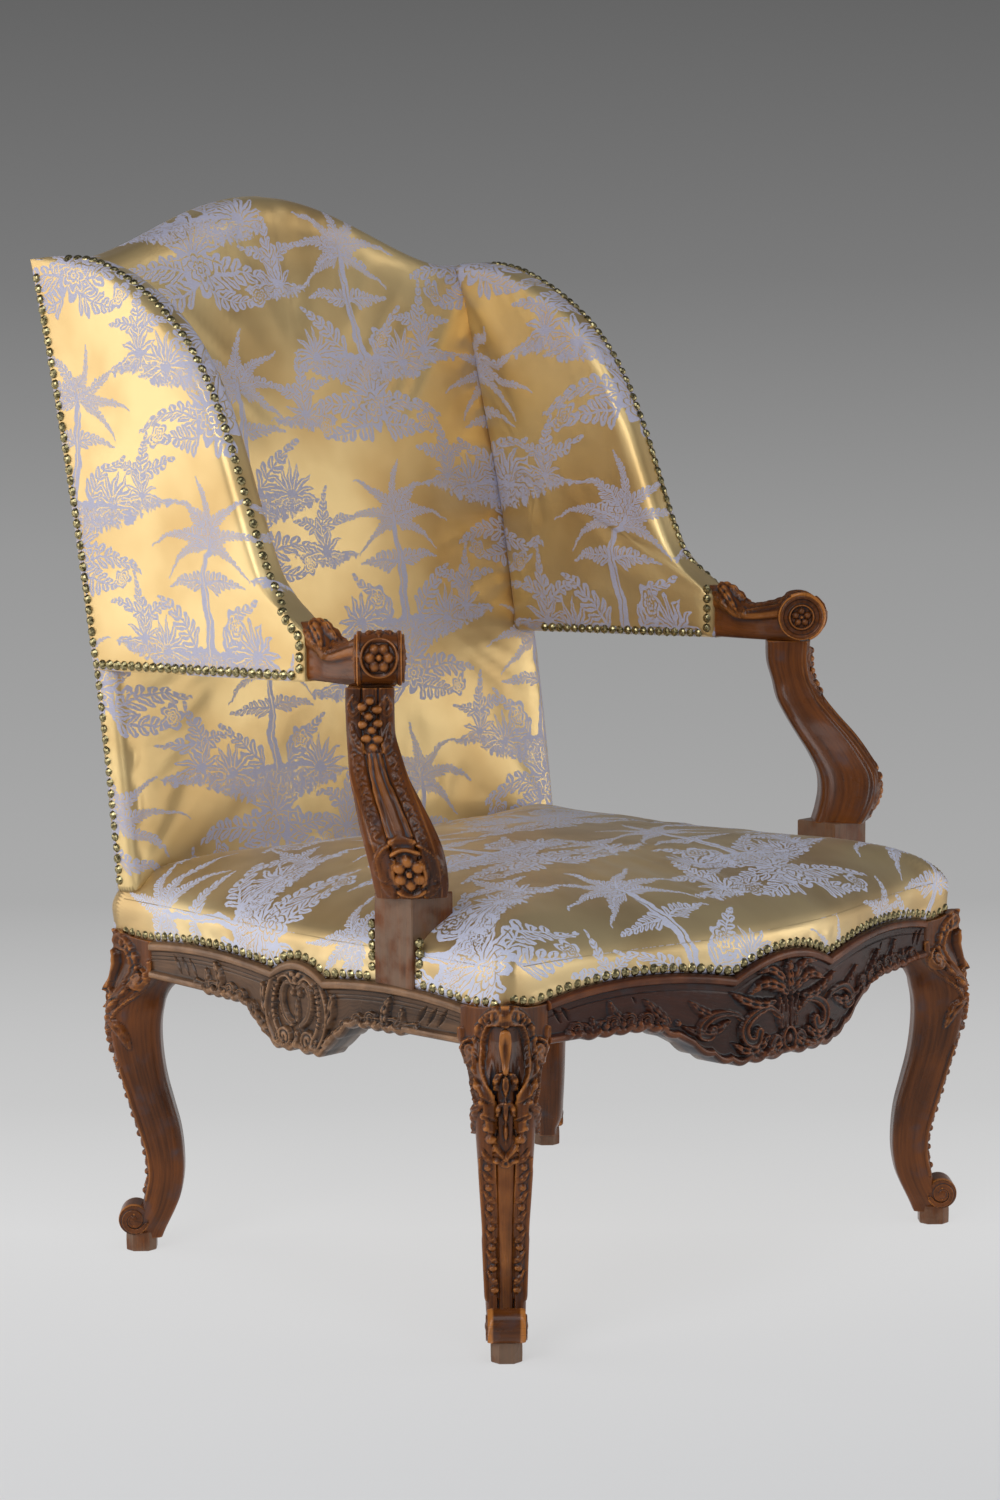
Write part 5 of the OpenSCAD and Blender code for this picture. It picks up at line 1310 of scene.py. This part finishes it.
def settled(points, cap):
    """How far each point of a cover moves when the cloth, a little too large, is blown over its stuffing.

    The stuffing holds the broad form, so only the folds and puckers stay, with a little of the swelling.
    """
    wide, frames, slack = len(points), 20, 0.012
    index = np.arange(wide * wide).reshape(wide, wide)
    x = points.reshape(-1, 3) * MM
    quads = faced(grid_quads(index), x, x.mean(0) * (1, 1, 0.9))
    mesh = bpy.data.meshes.new("cloth")
    mesh.from_pydata(x.tolist(), [], quads.tolist())
    sheet = bpy.data.objects.new("cloth", mesh)
    bpy.context.scene.collection.objects.link(sheet)
    steps = np.minimum(index // wide, index % wide)
    steps = np.minimum(steps, steps[::-1, ::-1])
    # Every second point of the edge is nailed down.
    nailed = (steps == 0) & ((index // wide + index % wide) % 2 == 0)
    sheet.vertex_groups.new(name="nails").add(index[nailed].tolist(), 1.0, "REPLACE")
    cloth = sheet.modifiers.new("cloth", "CLOTH")
    cloth.settings.vertex_group_mass = "nails"
    cloth.settings.quality, cloth.settings.mass, cloth.settings.shrink_min = 5, 0.3, -slack
    cloth.settings.use_pressure, cloth.settings.uniform_pressure_force = True, 4
    cloth.settings.effector_weights.gravity = 0
    cloth.collision_settings.use_collision = False
    cloth.point_cache.frame_start, cloth.point_cache.frame_end = 1, frames
    for step in range(frames):
        bpy.context.scene.frame_set(step + 1)
    made = sheet.evaluated_get(bpy.context.evaluated_depsgraph_get()).to_mesh()
    end = np.empty(wide * wide * 3)
    made.vertices.foreach_get("co", end)
    moved = end.reshape(points.shape) / MM - points
    bpy.data.objects.remove(sheet)
    bpy.context.scene.frame_set(1)
    # Folds are what stands out from the averaged cloth. They are shallow, and fade at the nails.
    normal = np.cross(np.gradient(points, axis=0), np.gradient(points, axis=1))
    normal /= np.maximum(np.linalg.norm(normal, axis=-1, keepdims=True), 1e-9)
    normal *= np.sign((normal * moved)[wide // 4:-wide // 4, wide // 4:-wide // 4].sum())
    outward = (moved * normal).sum(-1)
    broad = softened(outward, 30)
    deepest = -1.0 * ease((steps - 14) / 10)
    height = np.clip(outward - broad, deepest, cap / 2) + cap / 2 * np.tanh(np.maximum(broad, 0) / 40)
    return normal * (height * np.interp(steps, [0, 2, 8], [0.1, 0.6, 1]))[..., None]


def cushion(name, table, centre, profile, place, material, n, border_rows, replaced, flip=False,
            under=None, cap=3.6):
    """A padded piece over an outline, with its flat underside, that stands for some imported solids."""
    plan, height, flat, edge = cushion_grid(table, np.asarray(centre, float), profile, n, border_rows)
    points = place(plan, height, edge)
    points += settled(points, cap)
    wide = 2 * n + 1
    steps = n - np.maximum(*np.abs(np.meshgrid(np.arange(-n, n + 1), np.arange(-n, n + 1), indexing="ij")))
    rim = steps == 0
    inward = np.asarray(centre) - edge[..., :2]
    tucked = (profile[0][0] + steps) / np.linalg.norm(inward, axis=-1)
    under_plan = edge[..., :2] + inward * np.where(steps <= 2, tucked, steps / n)[..., None]
    low = place(under_plan, np.where(steps > 1, under or profile[0][1], profile[0][1]), edge)
    index = np.arange(wide * wide).reshape(wide, wide)
    below = index + wide * wide
    below[rim] = index[rim]
    quads = np.concatenate([grid_quads(index), grid_quads(below)[:, [0, 3, 2, 1]]])
    both = np.concatenate([points.reshape(-1, 3), low.reshape(-1, 3)]) * ((-1, 1, 1) if flip else (1, 1, 1))
    used = np.unique(quads)
    renumber = np.zeros(len(both), int)
    renumber[used] = np.arange(len(used))
    both, uv = both[used], np.tile(flat.reshape(-1, 2) * MM, (2, 1))[used]
    made = joined(name, both, faced(renumber[quads], both, both.mean(0)).tolist(), uv, material)
    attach(made, "root")
    for node in replaced:
        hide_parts(node)
    return made


def cloth_sheet(name, table, centre, profile, place, n=40, flip=False):
    """A single layer of cloth over an outline, stretched flat and nailed at its edge."""
    plan, height, flat, edge = cushion_grid(table, np.asarray(centre, float), profile, n, 6)
    points = place(plan, height, edge).reshape(-1, 3) * ((-1, 1, 1) if flip else (1, 1, 1))
    wide = 2 * n + 1
    quads = grid_quads(np.arange(wide * wide).reshape(wide, wide))
    made = joined(name + "_silk", points, quads.tolist(), flat.reshape(-1, 2) * MM, gold_silk)
    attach(made, "root")
    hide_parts(name)
    return made


def seat_outline():
    """Edge of the seat over the rails, with the height of the carved edge under it."""
    ys = np.linspace(corner_front + 12, corner_rear, 60)
    xs = np.linspace(-seat_wide / 2 + 12, seat_wide / 2 - 12, 90)
    front = [(x, front_y(x), front_edge(x)) for x in xs]
    right = [(side_x(y), y, side_edge(y)) for y in ys]
    half = seat_wide_back / 2
    rear = [(x, corner_rear + 8, carved_edge) for x in np.linspace(half, -half, 30)]
    left = [(-side_x(y), y, side_edge(y)) for y in ys[::-1]]
    c = seat_wide / 2
    corner_a, corner_b = (-c + 5, corner_front + 3.5, 355.5), (c - 5, corner_front + 3.5, 355.5)
    outline = [corner_a] + front + [corner_b] + right + rear + left
    rear_start = len(front) + len(right) + 2
    return ring_table(outline, (0, len(front) + 1, rear_start, rear_start + len(rear) - 1))


seat_dome = 392
seat_profile = [(5.2, 350.3), (4.4, 362), (4.0, 372), (4.4, 381), (6.0, 387.3), (8.2, 392), (12, 397.5),
                (18, 403), (26, 408.6), (38, 415), (60, 425), (89, 433.3), (160, 444), (240, 451),
                (300, 453.5)]


def seat_place(plan, height, edge):
    """The side of the seat follows the carved edge, and its top doesn't."""
    lift = np.clip((seat_dome - height) / (seat_dome - carved_edge), 0, 1)
    z = height + (edge[..., 2] - carved_edge) * lift
    return np.stack([plan[..., 0], plan[..., 1], z], -1)


cushion("seat", seat_outline(), (0, seat_middle), seat_profile, seat_place, lit_seat_silk, n=60,
        border_rows=16, replaced=("seat_cover", "seat_stuffing"), under=390.5, cap=5.5)


# Back: silk over a stuffing of even thickness, nailed to the posts and rails. Its side edges are
# rounded, it swells a little in the middle, and its top rises to a crest between level shoulders.
back_half, back_foot, shoulder, crest_rise = 337.2, 398.0, 1080.0, 76.0


def crest_line(x):
    """Height of the top edge of the back."""
    return shoulder + crest_rise * hump(x / (back_half * 0.84)) ** 0.8


def back_outline(half, foot, drop, across, up):
    """Edge of the back, going round from its lower left corner, some millimetres below the crest."""
    xs, zs = np.linspace(-half, half, across), np.linspace(foot, shoulder - drop, up)
    bottom = [(x, foot) for x in xs]
    right = [(half, z) for z in zs[1:-1]]
    top = [(x, crest_line(x) - drop) for x in xs[::-1]]
    left = [(-half, z) for z in zs[::-1][1:-1]]
    return ring_table(bottom + right + top + left, (0, across - 1, across + up - 2, 2 * across + up - 3))


def back_place(plan, height, edge):
    """A height before the rear face of the back."""
    return np.stack([plan[..., 0], back_y(plan[..., 1]) - height, plan[..., 1]], -1)


back_profile = [(0, 1.8), (0, 12), (0.2, 18), (1.1, 23.2), (3.0, 27.7), (6.4, 30.4), (12, 31.7), (40, 32.4),
                (90, 37), (160, 43), (240, 46), (330, 47)]
cushion("back", back_outline(back_half, back_foot, 0, 120, 60), (0, 755), back_profile, back_place,
        gold_silk, n=60, border_rows=14, replaced=("inside_back_cover", "back_stuffing"))

# Wings: padded boards whose front edge falls in an ogee from the shoulder to the arm. The inner cover
# wraps round the front edge as far as the row of nails, and the outer face is a cover of its own.
wing_deep, wing_low, wing_out = 430.0, 647.0, 339.0
wing_centre = (wing_front + 0.55 * wing_deep, between(wing_low, shoulder, 0.38))
wing_line = [[0, .112], [.04, .142], [.09, .178], [.139, .228], [.177, .3], [.234, .436], [.287, .562],
             [.353, .688], [.443, .804], [.564, .9], [.727, .98], [.87, 1.006], [1, 1]]


def wing_outline(depth):
    """Outline in Y and Z with the share of rounding at its outer edge, and where its corners are."""
    def rear(z):
        """Where the wing ends before the rear face of the back."""
        return back_y(z) - depth

    end = 1 - depth / wing_deep
    up = [(wing_front, z, 0) for z in np.linspace(wing_low, between(wing_low, shoulder, 0.112), 8)]
    along = np.linspace(0, end, 90)[1:]
    round_share = ease((along - 0.02) / 0.1) * (1 - ease((along - 0.8) / 0.2))
    top = list(zip(wing_front + along * wing_deep, between(wing_low, shoulder, through(along, wing_line, 1)),
                   round_share))
    down = [(rear(z), z, 0) for z in np.linspace(between(wing_low, shoulder, 1), wing_low - 9, 50)[1:]]
    under = [(y, between(wing_low, wing_low - 9, (y - wing_front) / (rear(wing_low) - wing_front)), 0)
             for y in np.linspace(rear(wing_low - 9), wing_front, 40)[1:-1]]
    corner = len(up) + int(np.argmin(np.abs(along - 0.33)))
    return up + top + down + under, (0, corner, len(up) + len(top) - 1, len(up) + len(top) + len(down) - 1)


def towards(plan, centre, distance):
    """Places moved some distance towards a centre."""
    v = np.asarray(centre) - plan
    return plan + v / np.maximum(np.linalg.norm(v, axis=-1, keepdims=True), 1e-6) * distance[..., None]


wing_profile = [(0, 1.8), (0, 6), (0, 10), (0, 15), (0.2, 26), (1.8, 31.5), (5, 34.6), (11, 36.3), (40, 38),
                (90, 41), (200, 42)]


def wing_place(plan, height, edge):
    """The inside of a wing, thicker towards the back, with its outer edge rounded off."""
    plan = towards(plan, wing_centre, edge[..., 2] * np.interp(height, [1.8, 6, 10, 14.5], [17, 8, 3, 0]))
    thick = 12 * np.clip((plan[..., 0] - wing_front) / wing_deep, 0, 1) * np.clip((height - 20) / 16, 0, 1)
    return np.stack([-wing_out + height + thick, plan[..., 0], plan[..., 1]], -1)


def outer_place(plan, height, edge):
    """The outside of a wing, wrapped round the rounded edge as far as the nails."""
    share = edge[..., 2]
    depth = np.where(height > 0, height * (share + (1 - share) / 14), height)
    return np.stack([-wing_out + depth + 0.2, plan[..., 0], plan[..., 1]], -1)


outer_profile = [(-0.8, 14), (0.2, 9.5), (3, 5.2), (8, 2), (15, 0.4), (24, 0), (60, -0.3), (200, -0.6)]
outline, marks = wing_outline(30.3)
far_outline, far_marks = wing_outline(1.2)
for name, flip in (("left", False), ("right", True)):
    cushion(name + "_wing", ring_table(outline, marks), wing_centre, wing_profile, wing_place, gold_silk,
            n=44, border_rows=10,
            replaced=(name + "_wing_inside_cover", name + "_wing_stuffing"), flip=flip)
    cloth_sheet(name + "_wing_outside_cover", ring_table(far_outline, far_marks), wing_centre, outer_profile,
                outer_place,
                n=30, flip=flip)

# Cover of the outside of the back: one flat piece of the same silk, stretched from the crest to the
# rear rail and nailed all round.
outside_profile = [(0, 1.4), (2, 0.7), (8, 0.2), (40, 0.6), (330, 1.4)]
cloth_sheet("outside_back_cover", back_outline(336.0, 352.0, 1, 90, 60), (0, 715), outside_profile,
            back_place)

# Brass nails: domed heads side by side, slightly faceted by the die. They follow every edge of the
# covers: round the seat, beside the arm posts, along the wings and round the back.
brass, tree, sockets = new_material("aged brass")
spots = texture(tree, "TexNoise", texture(tree, "NewGeometry", None, "Position"), "Fac", scale=420.0,
                detail=3.0)
# Where a head curves less sharply it is painted almost black, as the shade round each nail.
hollow = texture(tree, "NewGeometry", None, "Pointiness").ramp(0.47, 0.56)
worn_brass = blended(tree, spots.ramp(0.3, 0.65), (0.10, 0.080, 0.032), (0.47, 0.40, 0.21))
join(tree, blended(tree, hollow, (0.026, 0.022, 0.012), worn_brass), sockets["Base Color"])
sockets["Metallic"].default_value = 1.0
join(tree, 0.17 + spots * 0.14, sockets["Roughness"])
# Space between nails, and how far the rows lie in from the face of the rails and up from their edge.
nail_pitch, nail_in, nail_up = 11.8, 4.6, 5.8
# Rings of a nail's head: distance from its middle, and height.
nail_rings = [(0.6, 3.8), (2.6, 3.4), (4.4, 2.1), (5.5, 0.2), (5.0, -1.4)]
nail_places = []


def nails_along(x, y, z, facing, both=False):
    """Nail places at an even pitch along a line of points, each with the way it faces."""
    path = np.stack(np.broadcast_arrays(x, y, z), -1).astype(float)
    normals = np.broadcast_to(facing, path.shape)
    length = running(np.linalg.norm(np.diff(path, axis=0), axis=1))
    count = max(2, int(round(length[-1] / nail_pitch)))
    at = (np.arange(count) + 0.5) * length[-1] / count
    for d in at:
        p = np.array([np.interp(d, length, path[:, k]) for k in range(3)])
        n = np.array([np.interp(d, length, normals[:, k]) for k in range(3)])
        for mirror in ((1, 1, 1), (-1, 1, 1)) if both else ((1, 1, 1),):
            nail_places.append((p * mirror, n / np.linalg.norm(n) * mirror))


# Round the seat, and up the cover's edge on both sides of each arm post.
xs = np.linspace(-354, 354, 160)
slope = np.gradient(front_y(xs), xs)
nails_along(xs, front_y(xs) + nail_in, front_edge(xs) + nail_up,
            np.column_stack([slope, -np.ones(160), np.zeros(160)]))
for y0, y1 in ((corner_front + 12, post_front - 6), (post_front + post_deep + 6, corner_rear - 8)):
    ys = np.linspace(y0, y1, 80)
    lean = np.gradient(side_x(ys), ys)
    nails_along(-side_x(ys) + nail_in, ys, side_edge(ys) + nail_up,
                np.column_stack([-np.ones(80), -lean, np.zeros(80)]), True)
for y, top in ((post_front - 5.5, 408), (post_front + post_deep + 5.5, 420)):
    nails_along(-side_x(y) + nail_in, y, (366, top), (-1, 0, 0), True)
# Along the front edge of the wings, under them outside and inside, and up their inside by the arms.
points = np.array(far_outline)
front = points[:np.argmax(points[:, 1]) - 1]
step = np.gradient(front[:, :2], axis=0)
outward = np.column_stack([-step[:, 1], step[:, 0]]) / np.linalg.norm(step, axis=1)[:, None]
front, outward = front[1:], outward[1:]
share = front[:, 2:3]
line = front[:, :2] - outward * (6.0 * (1 - share) + 0.5)
nails_along(-wing_out + 13.2 * share[:, 0] ** 3, line[:, 0], line[:, 1],
            np.column_stack([-(1 - 0.62 * share[:, 0]), outward * share]), True)
ys = np.linspace(wing_front + 12.6, float(back_y(640.0)) - 12, 60)
low = between(wing_low, wing_low - 9, (ys - wing_front) / 340) + nail_up
nails_along(-wing_out, ys, low, (-1, 0, 0), True)
inner = wing_out - 36.5 - 12 * np.clip((ys - wing_front) / wing_deep, 0, 1)
nails_along(-inner[:48], ys[:48], low[:48], (1, 0, 0), True)
nails_along(-wing_out + 36.4, wing_front + 6.5, (wing_low + 6, wing_low + 62), (1, 0, 0), True)
# Down both sides of the back, and round the cover of its outside.
zs = np.linspace(1066, 404, 90)
nails_along(np.where(zs > wing_low, -wing_out, -337.4), back_y(zs) - 7, zs, (-1, 0, 0), True)
xs = np.linspace(-328, 328, 120)
high = crest_line(xs) - 8
nails_along(xs, back_y(high), high, (0, 1, -0.17))
nails_along((-326, 326), back_y(360), 360, (0, 1, 0))
zs = np.linspace(368, 1066, 60)
nails_along(-329, back_y(zs), zs, (0, 1, -0.17), True)

sides = 9
nail_angle = np.arange(sides) * 2 * np.pi / sides
shape = np.concatenate([np.column_stack([r * np.cos(nail_angle), r * np.sin(nail_angle), np.full(sides, h)])
                        for r, h in nail_rings])
nail_faces = [list(range(sides))]
for ring in range(0, (len(nail_rings) - 1) * sides, sides):
    for k in range(sides):
        after = (k + 1) % sides
        nail_faces.append([ring + k, ring + sides + k, ring + sides + after, ring + after])
nail_faces.append([(len(nail_rings) - 1) * sides + k for k in range(sides)][::-1])
# Each nail is turned, sunk and tipped a little in its own way.
generator = np.random.default_rng(7)
nail_points, all_faces = [], []
for place, normal in nail_places:
    side = np.cross(normal, (0.3, 0.2, 1.0))
    side /= np.linalg.norm(side)
    frame_of = np.stack([side, np.cross(normal, side), normal])
    spin = generator.uniform(0, 6.28)
    rotated = np.column_stack([shape[:, 0] * cos(spin) - shape[:, 1] * sin(spin),
                               shape[:, 0] * sin(spin) + shape[:, 1] * cos(spin),
                               shape[:, 2] + generator.uniform(-0.25, 0.15)])
    tipped = frame_of + generator.normal(0, 0.03, (3, 3))
    first = len(nail_points) * len(shape)
    nail_points.append(rotated @ tipped + place)
    all_faces += [[first + k for k in face] for face in nail_faces]
nails = joined("upholstery_nails", np.concatenate(nail_points), all_faces,
               np.zeros((len(nail_points) * len(shape), 2)), brass)
nails.data.polygons.foreach_set("use_smooth", np.zeros(len(nails.data.polygons), bool))
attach(nails, "root")

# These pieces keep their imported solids: the stained rear rail, beech rails and posts, walnut pegs,
# steel screws, jute webbing and hessian. Their materials follow the place of each point.
def inner_stuff(name, first, second, stretch, roughness, metal=0.0, weave=0.0):
    """A mottled material between two colours, with threads where a weave is given."""
    material, tree, sockets = new_material(name)
    place = texture(tree, "TexCoord", None, "Object")
    mottle = texture(tree, "TexNoise", scaled(tree, place, stretch), "Fac", scale=1.0, detail=4.0)
    colour = blended(tree, mottle.ramp(0.3, 0.7), first, second)
    if weave:
        across, along = split(tree, place)
        threads = (across * weave).math("SINE") * (along * weave).math("SINE")
        colour = blended(tree, threads.ramp(-0.2, 0.6) * 0.6, colour, tuple(c * 0.4 for c in first))
        join(tree, bumped(tree, threads, 0.0003, 0.5), sockets["Normal"])
    join(tree, colour, sockets["Base Color"])
    sockets["Roughness"].default_value, sockets["Metallic"].default_value = roughness, metal
    return material


beech = inner_stuff("beech", (0.36, 0.22, 0.11), (0.50, 0.33, 0.18), (8, 90, 90), 0.6)
peg_wood = inner_stuff("peg walnut", (0.05, 0.022, 0.010), (0.12, 0.05, 0.022), (60, 60, 60), 0.5)
steel = inner_stuff("steel", (0.32, 0.31, 0.30), (0.44, 0.43, 0.42), (200, 200, 200), 0.35, metal=1.0)
jute = inner_stuff("jute webbing", (0.34, 0.24, 0.13), (0.46, 0.34, 0.20), (40, 40, 40), 0.9, weave=2600.0)
hessian = inner_stuff("hessian", (0.30, 0.22, 0.13), (0.42, 0.32, 0.20), (30, 30, 30), 0.95, weave=1900.0)
stained = inner_stuff("stained rear rail", (0.040, 0.017, 0.009), (0.13, 0.058, 0.028), (9, 120, 90), 0.45)
for stuff, names in ((stained, ("rear_rail",)),
                     (beech, ("crest_rail", "back_lower_rail", "left_wing_post", "right_wing_post")),
                     (peg_wood, ("joint_pegs",)), (steel, ("arm_support_screws",)),
                     (jute, ("seat_webbing_long", "seat_webbing_cross", "back_webbing_upright",
                             "back_webbing_cross")),
                     (hessian, ("seat_hessian", "back_hessian", "left_wing_hessian", "right_wing_hessian"))):
    for name in names:
        solid = bpy.data.objects[name]
        for slot in solid.material_slots:
            slot.material = stuff
        if not solid.material_slots:
            solid.data.materials.append(stuff)
